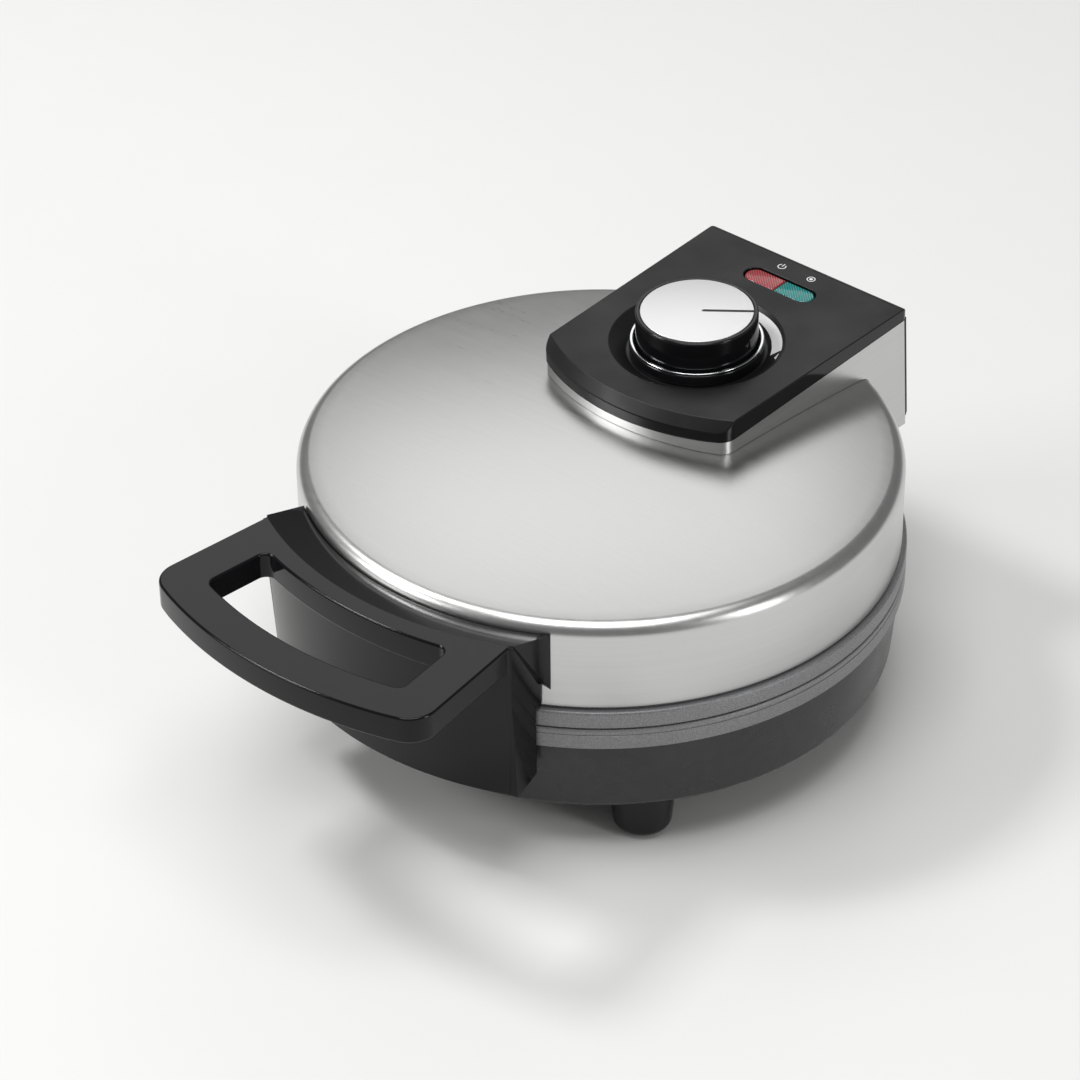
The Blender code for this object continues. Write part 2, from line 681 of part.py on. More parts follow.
def make_lower_ring(axis):
    spigot_radius = base_radius(BASE_TOP, BASE_WALL) - GAP
    spigot_bottom = LOWER_RING_BOTTOM - LOWER_SPIGOT_HEIGHT
    lip_top = LOWER_GRID_BOTTOM - GAP
    wall_radius = CAVITY_RADIUS + RING_WALL
    boss_top = LOWER_RING_TOP - RING_FLANGE / 2
    profile = [
        (BAND_RADIUS, LOWER_RING_TOP),
        (BAND_RADIUS, LOWER_RING_BOTTOM),
        (spigot_radius, LOWER_RING_BOTTOM),
        (spigot_radius, spigot_bottom),
        (spigot_radius - SPIGOT_WALL, spigot_bottom),
        (spigot_radius - SPIGOT_WALL, LOWER_RING_TOP - RING_FLANGE),
        (wall_radius, LOWER_RING_TOP - RING_FLANGE),
        (wall_radius, lip_top - LIP_THICKNESS),
        (LIP_RADIUS, lip_top - LIP_THICKNESS),
        (LIP_RADIUS, lip_top),
        (CAVITY_RADIUS, lip_top),
        (CAVITY_RADIUS, LOWER_RING_TOP),
    ]
    ring = turned("lower_plate_ring", axis, profile)
    for side, angle in foot_angles().items():
        place = radial_place(angle, FOOT_CIRCLE, 0.0)
        boss = rod(f"boss_{side}", axis, BOSS_RADIUS, FLOOR_TOP + GAP, boss_top, SMALL_STEPS)
        boss.location = place
        join(ring, boss)
        bore_top = BASE_SCREW_REACH + GAP
        bore = rod(f"cut_boss_{side}", axis, BASE_SCREW_RADIUS + GAP, FOOT_HEIGHT, bore_top)
        bore.location = place
        cut(ring, bore)
    return finish(ring, "cast_coating")


def grid_posts(name, axis, floor, direction):
    """The waffle's square posts and the two ridges that quarter it, standing on a plate's floor."""
    foot = floor - direction * GRID_THICKNESS / 2
    top = floor + direction * POST_HEIGHT
    grow = (POST_FOOT - POST_TOP) / POST_HEIGHT
    foot_side = POST_FOOT + grow * GRID_THICKNESS / 2
    depth = abs(top - foot)
    low_side, high_side = (foot_side, POST_TOP) if direction > 0 else (POST_TOP, foot_side)
    outer = CAVITY_RADIUS - RIDGE_WIDTH

    def build(shape):
        for column in range(-POST_ROWS, POST_ROWS):
            for row in range(-POST_ROWS, POST_ROWS):
                x = (column + 0.5) * POST_PITCH
                y = (row + 0.5) * POST_PITCH
                if math.hypot(abs(x) + POST_FOOT / 2, abs(y) + POST_FOOT / 2) > outer:
                    continue
                made = bmesh.ops.create_cone(
                    shape,
                    cap_ends=True,
                    segments=4,
                    radius1=low_side / math.sqrt(2),
                    radius2=high_side / math.sqrt(2),
                    depth=depth,
                )
                turn = Matrix.Rotation(math.pi / 4, 3, "Z")
                bmesh.ops.rotate(shape, matrix=turn, verts=made["verts"])
                bmesh.ops.translate(shape, vec=(x, y, (foot + top) / 2), verts=made["verts"])

    return mesh_from(build, name, axis)


def make_grid(name, axis, low, high, floor, direction):
    """A grid insert: a disc with the waffle's posts and quartering ridges on one side."""
    disc = rod(name, axis, GRID_RADIUS, low, high, FULL_STEPS)
    join(disc, grid_posts(f"posts_{name}", axis, floor, direction))
    half = RIDGE_WIDTH / 2
    reach = GRID_RADIUS - RIDGE_WIDTH
    inside = floor - direction * GRID_THICKNESS / 2
    top = floor + direction * RIDGE_HEIGHT
    bottom_z, top_z = sorted((inside, top))
    across = block(f"ridge_across_{name}", axis, (-reach, -half, bottom_z), (reach, half, top_z))
    along = block(f"ridge_along_{name}", axis, (-half, -reach, bottom_z), (half, reach, top_z))
    join(disc, across, along)
    return finish(disc, "cast_coating")


# Heating, the same for both plates ----------------------------------------------------------------
def make_heater(name, axis, level, direction):
    """A ring of tube against a plate, with both ends turned away from the plate.

    The ends are at the rear below the lower plate, and at the front above the upper one."""
    middle = -direction * math.pi / 2
    start = middle + HEATER_GAP_HALF_ANGLE
    end = middle + 2 * math.pi - HEATER_GAP_HALF_ANGLE
    ring = arc((0.0, 0.0), HEATER_CIRCLE, start, end, 40)
    bend = 2 * HEATER_TUBE
    points = [(*ring[0], level + direction * HEATER_LEG)]
    points.append((*ring[0], level + direction * bend))
    points += [(x, y, level) for x, y in ring[1:-1]]
    points.append((*ring[-1], level + direction * bend))
    points.append((*ring[-1], level + direction * HEATER_LEG))
    curve = bpy.data.curves.new(name, "CURVE")
    curve.dimensions = "3D"
    curve.bevel_depth = HEATER_TUBE
    curve.bevel_resolution = 2
    curve.use_fill_caps = True
    spline = curve.splines.new("POLY")
    spline.points.add(len(points) - 1)
    for point, place in zip(spline.points, points):
        point.co = (*place, 1.0)
    return finish(capped_mesh(new_object(name, curve, axis)), "heater_sheath")


def make_heater_clips(name, axis, level, direction):
    """Two straps around the heater, each with a flange on both sides against the plate."""
    arch = HEATER_TUBE + CLIP_PLAY
    outer = arch + CLIP_SHEET
    plate_face = HEATER_TUBE + GAP
    flange_end = outer + CLIP_FLANGE
    outline = [(arch, plate_face), (flange_end, plate_face)]
    outline += [(flange_end, plate_face - CLIP_SHEET), (outer, plate_face - CLIP_SHEET)]
    outline += arc((0.0, 0.0), outer, 0.0, -math.pi, 8)
    outline += [(-outer, plate_face - CLIP_SHEET), (-flange_end, plate_face - CLIP_SHEET)]
    outline += [(-flange_end, plate_face), (-arch, plate_face)]
    outline += arc((0.0, 0.0), arch, -math.pi, 0.0, 8)
    for side, sign in (("left", -1), ("right", 1)):
        facing = [(x, -direction * z) for x, z in outline]
        clip = plate(f"{name}_{side}", axis, facing, -CLIP_WIDTH / 2, CLIP_WIDTH / 2)
        clip.location = (sign * HEATER_CIRCLE, 0.0, level)
        clip.rotation_euler = (math.pi / 2, 0.0, 0.0)
        finish(clip, "zinc_steel")


def make_reflector(name, axis, lip_face, direction):
    """A pressed sheet dish that closes the heater's space, its flange on the plate ring's lip."""
    rim = LIP_RADIUS + REFLECTOR_OVERLAP
    inner = rim - REFLECTOR_FLANGE
    near = lip_face + direction * GAP
    far = near + direction * REFLECTOR_DEPTH
    sheet = direction * REFLECTOR_SHEET
    upper = [(0.0, far), (inner - REFLECTOR_DEPTH / 2, far), (inner, near), (rim, near)]
    if direction > 0:
        profile = [(r, z + sheet) for r, z in upper]
    else:
        profile = upper
    lower_line = [(r, z - REFLECTOR_SHEET) for r, z in reversed(profile)]
    dish = turned(name, axis, profile + lower_line, closed=False)
    half = TERMINAL_SLOT_WIDTH / 2
    near_side = -direction * (HEATER_CIRCLE - TERMINAL_SLOT_LENGTH / 2)
    far_side = -direction * (HEATER_CIRCLE + TERMINAL_SLOT_LENGTH / 2)
    front, rear = sorted((near_side, far_side))
    low, high = sorted((lip_face - 2 * sheet, far + 3 * sheet))
    cut(dish, block(f"cut_{name}", axis, (-half, front, low), (half, rear, high)))
    return finish(dish, "aluminium_sheet")


def make_terminal_block(axis):
    width, length, height = TERMINAL_BLOCK_SIZE
    bottom = FLOOR_TOP + GAP
    front = TERMINAL_BLOCK_PLACE - length / 2
    low = (-width / 2, front, bottom)
    high = (width / 2, front + length, bottom + height)
    body = block("terminal_block", axis, low, high)
    for index, sign in enumerate((-1, 0, 1)):
        well_bottom = bottom + height - TERMINAL_WELL_DEPTH
        well = rod(f"cut_terminal_{index}", axis, TERMINAL_WELL_RADIUS, well_bottom, bottom + 2 * height)
        well.location = (sign * width / 3, TERMINAL_BLOCK_PLACE, 0.0)
        cut(body, well)
    return finish(body, "white_ceramic")


# Hinge --------------------------------------------------------------------------------------------
def eye_hole(name, axis):
    hole = rod(name, axis, HINGE_PIN_RADIUS + GAP, -EAR_OUTER * 2, EAR_OUTER * 2, SMALL_STEPS)
    hole.location = (0.0, HINGE_PLACE, HINGE_HEIGHT)
    hole.rotation_euler = (0.0, math.pi / 2, 0.0)
    return hole


def stop_height():
    """The shelf height that the arm's heel reaches just past the open angle."""
    heel = math.hypot(ARM_EYE_RADIUS, ARM_HEEL_HEIGHT)
    heel_angle = math.atan2(ARM_HEEL_HEIGHT, ARM_EYE_RADIUS)
    return HINGE_HEIGHT - heel * math.sin(LID_OPEN_ANGLE + STOP_MARGIN - heel_angle)


def make_hinge_bracket(axis):
    """The saddle behind the base: a bar, two ears for the pins, and the shelves that stop the lid."""
    bar_bottom = BRACKET_TOP - BRACKET_BAR_HEIGHT
    bar_rear = BASE_TOP_RADIUS + BRACKET_DEPTH
    front = BASE_TOP_RADIUS - BRACKET_DEPTH
    bracket = block(
        "hinge_bracket", axis, (-EAR_OUTER, front, bar_bottom), (EAR_OUTER, bar_rear, BRACKET_TOP)
    )
    eye = (HINGE_PLACE, HINGE_HEIGHT)
    ear = [(front, bar_bottom), (bar_rear, bar_bottom)]
    ear.append((HINGE_PLACE + EAR_RADIUS, BRACKET_TOP - EAR_RADIUS))
    ear += arc(eye, EAR_RADIUS, 0.0, math.pi, 12)
    ear += [(HINGE_PLACE - EAR_RADIUS, BASE_TOP - GAP), (front, BASE_TOP - GAP)]
    shelf_front = HINGE_PLACE - EAR_RADIUS
    shelf_rear = HINGE_PLACE + EAR_RADIUS
    for side, sign in (("left", -1), ("right", 1)):
        left, right = sorted((sign * EAR_INNER, sign * EAR_OUTER))
        join(bracket, side_plate(f"ear_{side}", axis, ear, left, right))
        inner, outer = sorted((sign * (ARM_INNER - HINGE_SIDE_PLAY), sign * (EAR_INNER + EAR_WIDTH / 2)))
        shelf = [(shelf_front, bar_bottom + EAR_RADIUS), (bar_rear, bar_bottom + EAR_RADIUS)]
        shelf += [(shelf_rear, BRACKET_TOP - EAR_RADIUS), (shelf_rear, stop_height())]
        shelf.append((shelf_front, stop_height()))
        join(bracket, side_plate(f"shelf_{side}", axis, shelf, inner, outer))
    above = HINGE_HEIGHT
    saddle = rod(
        "cut_bracket_saddle",
        axis,
        base_radius(0.0, -GAP),
        0.0,
        above,
        FULL_STEPS,
        base_radius(above, -GAP),
    )
    cut(bracket, saddle, eye_hole("cut_ear_eyes", axis), inlet_hole("cut_bracket_inlet", axis))
    for side, sign in (("left", -1), ("right", 1)):
        angle = math.pi + sign * BRACKET_SCREW_ANGLE
        end = base_radius(BRACKET_SCREW_HEIGHT) + BRACKET_SCREW_REACH + GAP
        start = BASE_FOOT_RADIUS - BRACKET_DEPTH
        radius = SMALL_SCREW_RADIUS + GAP
        hole_name = f"cut_bracket_screw_{side}"
        cut(bracket, radial_hole(hole_name, axis, angle, radius, start, end, BRACKET_SCREW_HEIGHT))
    return finish(bracket, "black_plastic")


def make_bracket_screws(axis):
    wall = base_radius(BRACKET_SCREW_HEIGHT, BASE_WALL) * math.cos(math.pi / FULL_STEPS)
    seat = wall - GAP - SMALL_SCREW_HEAD * math.tan(BRACKET_SCREW_ANGLE) / 4
    length = base_radius(BRACKET_SCREW_HEIGHT) + BRACKET_SCREW_REACH - seat
    for side, sign in (("left", -1), ("right", 1)):
        name = f"bracket_screw_{side}"
        fixing = screw(name, SMALL_SCREW_RADIUS, SMALL_SCREW_HEAD, SMALL_SCREW_HEAD_HEIGHT, length, axis)
        point_outwards(fixing, math.pi + sign * BRACKET_SCREW_ANGLE, seat, BRACKET_SCREW_HEIGHT)
        finish(fixing, "zinc_steel")


def make_hinge_pins(axis):
    start = ARM_INNER - HINGE_SIDE_PLAY
    shoulder = EAR_OUTER + GAP
    end = shoulder + HINGE_PIN_HEAD_HEIGHT
    for side, sign in (("left", -1), ("right", 1)):
        profile = [(0.0, end), (HINGE_PIN_HEAD, end), (HINGE_PIN_HEAD, shoulder)]
        profile += [(HINGE_PIN_RADIUS, shoulder), (HINGE_PIN_RADIUS, start), (0.0, start)]
        pin = turned(f"hinge_pin_{side}", axis, profile, SMALL_STEPS, closed=False)
        pin.location = (0.0, HINGE_PLACE, HINGE_HEIGHT)
        pin.rotation_euler = (0.0, sign * math.pi / 2, 0.0)
        finish(pin, "zinc_steel")


def make_hinge_arms(axis, back_frame):
    """The lid's two arms: an eye on each pin, a heel that meets the shelf, and a pad on the skirt."""
    eye = (HINGE_PLACE, HINGE_HEIGHT)
    top = HINGE_HEIGHT + ARM_HEIGHT
    face = SKIRT_BOTTOM
    front = LID_RADIUS - BRACKET_DEPTH
    outline = arc(eye, ARM_EYE_RADIUS, math.pi, 2 * math.pi, 12)
    shoulder = HINGE_HEIGHT + ARM_SHOULDER_HEIGHT
    outline += [(HINGE_PLACE + ARM_EYE_RADIUS, HINGE_HEIGHT + ARM_HEEL_HEIGHT)]
    outline += [(back_face(shoulder) - GAP, shoulder), (back_face(top) - GAP, top)]
    outline += [(front, top), (front, face), (HINGE_PLACE - ARM_EYE_RADIUS, face)]
    for side, sign in (("left", -1), ("right", 1)):
        left, right = sorted((sign * ARM_INNER, sign * (ARM_INNER + ARM_WIDTH)))
        arm = side_plate(f"hinge_arm_{side}", axis, outline, left, right)
        skirt = rod(f"cut_arm_skirt_{side}", axis, LID_RADIUS + GAP, 0.0, 2 * top, FULL_STEPS)
        cut(arm, skirt, eye_hole(f"cut_arm_eye_{side}", axis))
        cut(arm, lid_screw_hole(f"cut_arm_screw_{side}", axis, arm_screw_angle(sign), ARM_SCREW_REACH))
        cut(arm, back_screw_hole(f"cut_arm_back_{side}", back_frame, sign))
        finish(arm, "zinc_steel")


def arm_screw_angle(sign):
    return math.pi - sign * math.asin(ARM_MIDDLE / LID_RADIUS)


def back_face(height):
    """The place of the housing's rear edge, which runs out as it comes down."""
    return HOUSING_REAR + (HOUSING_TOP - height) * math.tan(BACK_LEAN)


def back_screw_hole(name, back_frame, sign):
    """A hole through the back cover into a hinge arm."""
    hole = rod(name, back_frame, SMALL_SCREW_RADIUS + GAP, -BACK_SCREW_REACH - GAP, 2 * BACK_SCREW_SEAT)
    hole.location = (sign * ARM_MIDDLE, 0.0, -BACK_SCREW_DROP)
    hole.rotation_euler = (-math.pi / 2, 0.0, 0.0)
    return hole


def lid_screw_hole(name, axis, angle, reach):
    start = LID_RADIUS - 4 * SPIGOT_WALL
    end = LID_RADIUS + reach + GAP
    return radial_hole(name, axis, angle, SMALL_SCREW_RADIUS + GAP, start, end, LID_SCREW_HEIGHT)


def lid_screws():
    """Each screw through the upper ring's spigot and the skirt: its name, angle and reach."""
    return (
        ("handle_screw_left", -HANDLE_SCREW_ANGLE, HANDLE_SCREW_REACH),
        ("handle_screw_right", HANDLE_SCREW_ANGLE, HANDLE_SCREW_REACH),
        ("hinge_arm_screw_left", arm_screw_angle(-1), ARM_SCREW_REACH),
        ("hinge_arm_screw_right", arm_screw_angle(1), ARM_SCREW_REACH),
    )


def make_lid_screws(axis):
    inner = (upper_spigot_radius() - SPIGOT_WALL) * math.cos(math.pi / FULL_STEPS)
    head_drop = inner - math.sqrt(inner**2 - SMALL_SCREW_HEAD**2)
    seat = inner - GAP - head_drop
    for name, angle, reach in lid_screws():
        length = LID_RADIUS + reach - seat
        fixing = screw(name, SMALL_SCREW_RADIUS, SMALL_SCREW_HEAD, SMALL_SCREW_HEAD_HEIGHT, length, axis)
        point_outwards(fixing, angle, seat, LID_SCREW_HEIGHT)
        finish(fixing, "zinc_steel")


# Lid ----------------------------------------------------------------------------------------------
def upper_spigot_radius():
    return LID_RADIUS - LID_SHEET - GAP


def make_lid_cover(axis):
    cover = turned("lid_cover", axis, lid_profile(), closed=False, sheet=LID_SHEET)
    half, front, rear = WIRE_OPENING
    cut(cover, block("cut_lid_wires", axis, (-half, front, SKIRT_BOTTOM), (half, rear, 2 * RIM_HEIGHT)))
    for name, angle, reach in lid_screws():
        cut(cover, lid_screw_hole(f"cut_cover_{name}", axis, angle, reach))
    return finish(cover, "brushed_steel")


def make_upper_ring(axis):
    spigot = upper_spigot_radius()
    spigot_top = UPPER_BAND_TOP + UPPER_SPIGOT_HEIGHT
    lip_bottom = UPPER_GRID_TOP + GAP
    flange_top = UPPER_RING_BOTTOM + RING_FLANGE
    profile = [
        (spigot, spigot_top),
        (spigot, UPPER_BAND_TOP),
        (BAND_RADIUS, UPPER_BAND_TOP),
        (BAND_RADIUS, UPPER_RING_BOTTOM),
        (CAVITY_RADIUS, UPPER_RING_BOTTOM),
        (CAVITY_RADIUS, lip_bottom),
        (LIP_RADIUS, lip_bottom),
        (LIP_RADIUS, lip_bottom + LIP_THICKNESS),
        (CAVITY_RADIUS + RING_WALL, lip_bottom + LIP_THICKNESS),
        (CAVITY_RADIUS + RING_WALL, flange_top),
        (spigot - SPIGOT_WALL, flange_top),
        (spigot - SPIGOT_WALL, spigot_top),
    ]
    ring = turned("upper_plate_ring", axis, profile)
    for name, angle, reach in lid_screws():
        cut(ring, lid_screw_hole(f"cut_ring_{name}", axis, angle, reach))
    return finish(ring, "cast_coating")


# Handle -------------------------------------------------------------------------------------------
def handle_outline():
    corner = (HANDLE_FRONT_HALF_WIDTH, -HANDLE_CORNER_PLACE)
    half = corner[0]
    sagitta = HANDLE_REACH - HANDLE_CORNER_PLACE
    front = bow(half, HANDLE_REACH, sagitta, 8)[1:-1]
    root_sagitta = CREASE_RADIUS - math.sqrt(CREASE_RADIUS**2 - HANDLE_ROOT_HALF_WIDTH**2)
    root_front = (CREASE_RADIUS + APRON_TOP_RADIUS) / 2
    root = bow(HANDLE_ROOT_HALF_WIDTH, root_front, root_sagitta, 8)
    corners = [(-corner[0], corner[1], HANDLE_CORNER_RADIUS)]
    corners += [(x, y, 0.0) for x, y in front]
    corners.append((corner[0], corner[1], HANDLE_CORNER_RADIUS))
    corners += [(x, y, 0.0) for x, y in reversed(root)]
    return rounded(corners)


def window_outline():
    rear_half, rear_y = WINDOW_REAR_CORNER
    front_half, front_y = WINDOW_FRONT_CORNER
    rear = bow(rear_half, WINDOW_REAR_PLACE, WINDOW_REAR_PLACE - rear_y, 6)[1:-1]
    front = bow(front_half, WINDOW_FRONT_PLACE, WINDOW_FRONT_PLACE - front_y, 6)[1:-1]
    corners = [(-front_half, -front_y, WINDOW_CORNER_RADIUS)]
    corners += [(x, y, 0.0) for x, y in front]
    corners.append((front_half, -front_y, WINDOW_CORNER_RADIUS))
    corners.append((rear_half, -rear_y, WINDOW_CORNER_RADIUS))
    corners += [(x, y, 0.0) for x, y in reversed(rear)]
    corners.append((-rear_half, -rear_y, WINDOW_CORNER_RADIUS))
    return rounded(corners, 3)


def make_handle(axis):
    """One moulding: the grip plate, the collar on the skirt, and the apron down over both bands."""
    collar = LID_RADIUS + GAP
    profile = [
        (CREASE_RADIUS, HANDLE_TOP),
        (APRON_TOP_RADIUS, HANDLE_TOP),
        (APRON_TOP_RADIUS, HANDLE_UNDERSIDE),
        (APRON_FOOT_RADIUS, APRON_FOOT_HEIGHT),
        (APRON_INNER_RADIUS, APRON_FOOT_HEIGHT + APRON_FOOT_RISE),
        (APRON_INNER_RADIUS, SKIRT_BOTTOM),
        (collar, SKIRT_BOTTOM),
        (collar, COLLAR_EDGE_HEIGHT),
    ]
    handle = turned("handle", axis, profile)
    front = -2 * APRON_TOP_RADIUS
    rear = -math.sqrt(collar**2 - COLLAR_HALF_WIDTH**2) / 2
    sides = block(
        "keep_handle_front",
        axis,
        (-COLLAR_HALF_WIDTH, front, 0.0),
        (COLLAR_HALF_WIDTH, rear, 2 * HANDLE_TOP),
    )
    keep(handle, sides)
    for side, sign in (("left", -1), ("right", 1)):
        cut(handle, handle_side_cutter(f"cut_handle_{side}", axis, sign))
    grip = plate("grip_plate", axis, handle_outline(), HANDLE_UNDERSIDE, HANDLE_TOP)
    join(handle, grip)
    window = plate("cut_handle_window", axis, window_outline(), 0.0, 2 * HANDLE_TOP)
    cut(handle, window, handle_pocket(axis))
    for name, angle, reach in lid_screws()[:2]:
        cut(handle, lid_screw_hole(f"cut_handle_{name}", axis, angle, reach))
    return finish(handle, "gloss_black")


def handle_side_cutter(name, axis, sign):
    """A block whose inner face flares like the grip plate's side, and whose top slopes to the rear."""
    run = HANDLE_CORNER_PLACE - HANDLE_ROOT_PLACE
    flare = math.atan((HANDLE_FRONT_HALF_WIDTH - HANDLE_ROOT_HALF_WIDTH) / run)
    size = APRON_TOP_RADIUS
    low, high = sorted((0.0, sign * size))
    cutter = block(name, axis, (low, -size, -2 * size), (high, size, 0.0))
    cutter.location = (sign * HANDLE_ROOT_HALF_WIDTH, -HANDLE_ROOT_PLACE, HANDLE_TOP)
    cutter.rotation_euler = (-FAIRING_SLOPE, 0.0, sign * flare)
    return cutter


def handle_pocket(axis):
    """The hollow behind the apron, open towards the base."""
    low = APRON_FOOT_HEIGHT + APRON_FOOT_RISE + APRON_WALL
    high = SKIRT_BOTTOM - APRON_WALL
    pocket = turned(
        "cut_handle_pocket",
        axis,
        [
            (APRON_FOOT_RADIUS - APRON_WALL, high),
            (APRON_FOOT_RADIUS - APRON_WALL, low),
            (LID_RADIUS, low),
            (LID_RADIUS, high),
        ],
    )
    half = HANDLE_ROOT_HALF_WIDTH - 2 * APRON_WALL
    keep(pocket, block("keep_handle_pocket", axis, (-half, -2 * LID_RADIUS, 0.0), (half, 0.0, RIM_HEIGHT)))
    return pocket


# Control housing ----------------------------------------------------------------------------------
def panel_half_width(place):
    share = (place - PANEL_FRONT_CORNER) / (PANEL_REAR - PANEL_FRONT_CORNER)
    return PANEL_FRONT_HALF_WIDTH + (PANEL_REAR_HALF_WIDTH - PANEL_FRONT_HALF_WIDTH) * share


def panel_outline(inset, rear):
    """The panel's outline, moved inwards by the inset, with its front bowed and its corners rounded."""
    front_half = PANEL_FRONT_HALF_WIDTH - inset
    rear_half = panel_half_width(rear) - inset
    radius = PANEL_ARC_RADIUS + PANEL_BEVEL_RUN - inset
    reach = math.asin(front_half / radius)
    centre = (0.0, PANEL_ARC_CENTRE)
    front = arc(centre, radius, -math.pi / 2 - reach, -math.pi / 2 + reach, 8)
    corner = PANEL_CORNER_RADIUS - inset
    rear_corner = PANEL_REAR_CORNER_RADIUS - inset
    corners = [(*front[0], corner)]
    corners += [(x, y, 0.0) for x, y in front[2:-2]]
    corners.append((*front[-1], corner))
    corners.append((rear_half, rear, rear_corner))
    corners.append((-rear_half, rear, rear_corner))
    return rounded(corners)


def wall_outline(inset):
    """The housing wall's outline, square at the rear, where the back cover closes it."""
    foot = back_face(HOUSING_BOTTOM) + inset
    half = panel_half_width(foot) - inset
    kept = [(x, y) for x, y in panel_outline(inset, foot) if y < PANEL_ARC_CENTRE]
    return kept + [(half, foot), (-half, foot)]


def below_panel(name, parent, top):
    """A block that fills everything under a level of the panel's own frame."""
    size = 3 * LID_RADIUS
    return block(name, parent, (-size, -size, -size), (size, size, top))


def make_control_housing(axis, panel_frame, back_frame):
    """A steel wrap around the front and both sides, cut to the lid's surface below."""
    outer = wall_outline(HOUSING_INSET)
    inner = wall_outline(HOUSING_INSET + HOUSING_SHEET)
    top = 2 * RIM_HEIGHT
    housing = plate("control_housing", axis, outer, HOUSING_BOTTOM, top)
    cut(housing, plate("cut_housing_inside", axis, inner, 0.0, 2 * top))
    under_lid = [*lid_profile(GAP), (LID_RADIUS + GAP, 0.0), (0.0, 0.0)]
    lid = turned("cut_housing_lid", axis, under_lid, closed=False)
    cut(housing, lid)
    behind = block("cut_housing_rear", back_frame, (-top, 0.0, -top), (top, top, top))
    cut(housing, behind)
    keep(housing, below_panel("keep_housing_height", panel_frame, -PANEL_THICKNESS - GAP))
    return finish(housing, "brushed_steel")


def make_back_cover(panel_frame, back_frame):
    half = panel_half_width(HOUSING_REAR) - HOUSING_INSET
    top = RIM_HEIGHT
    foot = (HOUSING_BOTTOM - HOUSING_TOP) / math.cos(BACK_LEAN)
    outline = rounded(
        [
            (-half, foot, PANEL_CORNER_RADIUS),
            (half, foot, PANEL_CORNER_RADIUS),
            (half, top, 0.0),
            (-half, top, 0.0),
        ]
    )
    rear = GAP + BACK_COVER_THICKNESS
    cover = front_plate("housing_back_cover", back_frame, outline, GAP, rear)
    keep(cover, below_panel("keep_back_cover_height", panel_frame, -PANEL_THICKNESS - GAP))
    for side, sign in (("left", -1), ("right", 1)):
        cut(cover, back_screw_hole(f"cut_cover_screw_{side}", back_frame, sign))
    return finish(cover, "black_plastic")


def make_back_screws(back_frame):
    length = BACK_SCREW_SEAT + BACK_SCREW_REACH
    for side, sign in (("left", -1), ("right", 1)):
        name = f"back_cover_screw_{side}"
        head = SMALL_SCREW_HEAD
        fixing = screw(name, SMALL_SCREW_RADIUS, head, SMALL_SCREW_HEAD_HEIGHT, length, back_frame)
        fixing.location = (sign * ARM_MIDDLE, BACK_SCREW_SEAT, -BACK_SCREW_DROP)
        fixing.rotation_euler = (math.pi / 2, 0.0, 0.0)
        finish(fixing, "zinc_steel")


# Panel, dial and lenses, in the panel's own frame --------------------------------------------------
def make_control_panel(panel_frame):
    outline = panel_outline(0.0, PANEL_REAR)
    panel = plate("control_panel", panel_frame, outline, -PANEL_THICKNESS, 0.0)
    bowl = rod("dish_bowl", panel_frame, DISH_RADIUS, DISH_UNDERSIDE, -PANEL_THICKNESS / 2, DIAL_STEPS)
    bowl.location = (0.0, KNOB_PLACE, 0.0)
    join(panel, bowl)
    dish = turned(
        "cut_dish",
        panel_frame,
        [
            (0.0, DISH_DEPTH),
            (2 * DISH_RADIUS - DISH_FLOOR_RADIUS, DISH_DEPTH),
            (DISH_FLOOR_RADIUS, -DISH_DEPTH),
            (0.0, -DISH_DEPTH),
        ],
        DIAL_STEPS,
        closed=False,
    )
    dish.location = (0.0, KNOB_PLACE, 0.0)
    shaft_hole = rod("cut_shaft_hole", panel_frame, SHAFT_RADIUS + GAP, 2 * DISH_UNDERSIDE, DISH_DEPTH)
    shaft_hole.location = (0.0, KNOB_PLACE, 0.0)
    lens_outline = slot(LENS_SLOT_LENGTH, LENS_SLOT_WIDTH, (0.0, LENS_PLACE))
    lens_slot = plate("cut_lens_slot", panel_frame, lens_outline, -2 * PANEL_THICKNESS, PANEL_THICKNESS)
    run = PANEL_BEVEL_RUN
    drop = PANEL_BEVEL_DROP
    bevel = turned(
        "cut_front_bevel",
        panel_frame,
        [
            (PANEL_ARC_RADIUS + 3 * run, 2 * drop),
            (PANEL_ARC_RADIUS + 3 * run, -drop),
            (PANEL_ARC_RADIUS + run, -drop),
            (PANEL_ARC_RADIUS - 2 * run, 2 * drop),
        ],
    )
    bevel.location = (0.0, PANEL_ARC_CENTRE, 0.0)
    cut(panel, dish, shaft_hole, lens_slot, bevel, rear_rounding(panel_frame))
    return finish(panel, "gloss_black")


def rear_rounding(panel_frame):
    """What the rounded rear edge of the panel leaves away."""
    centre = (PANEL_REAR - PANEL_REAR_ROUNDING, -PANEL_REAR_ROUNDING)
    rounding = arc(centre, PANEL_REAR_ROUNDING, math.pi / 2, 0.0, 6)
    beyond = 2 * PANEL_REAR
    outline = [(centre[0], PANEL_THICKNESS), *rounding]
    outline += [(beyond, centre[1]), (beyond, PANEL_THICKNESS)]
    return side_plate("cut_rear_rounding", panel_frame, outline, -beyond, beyond)


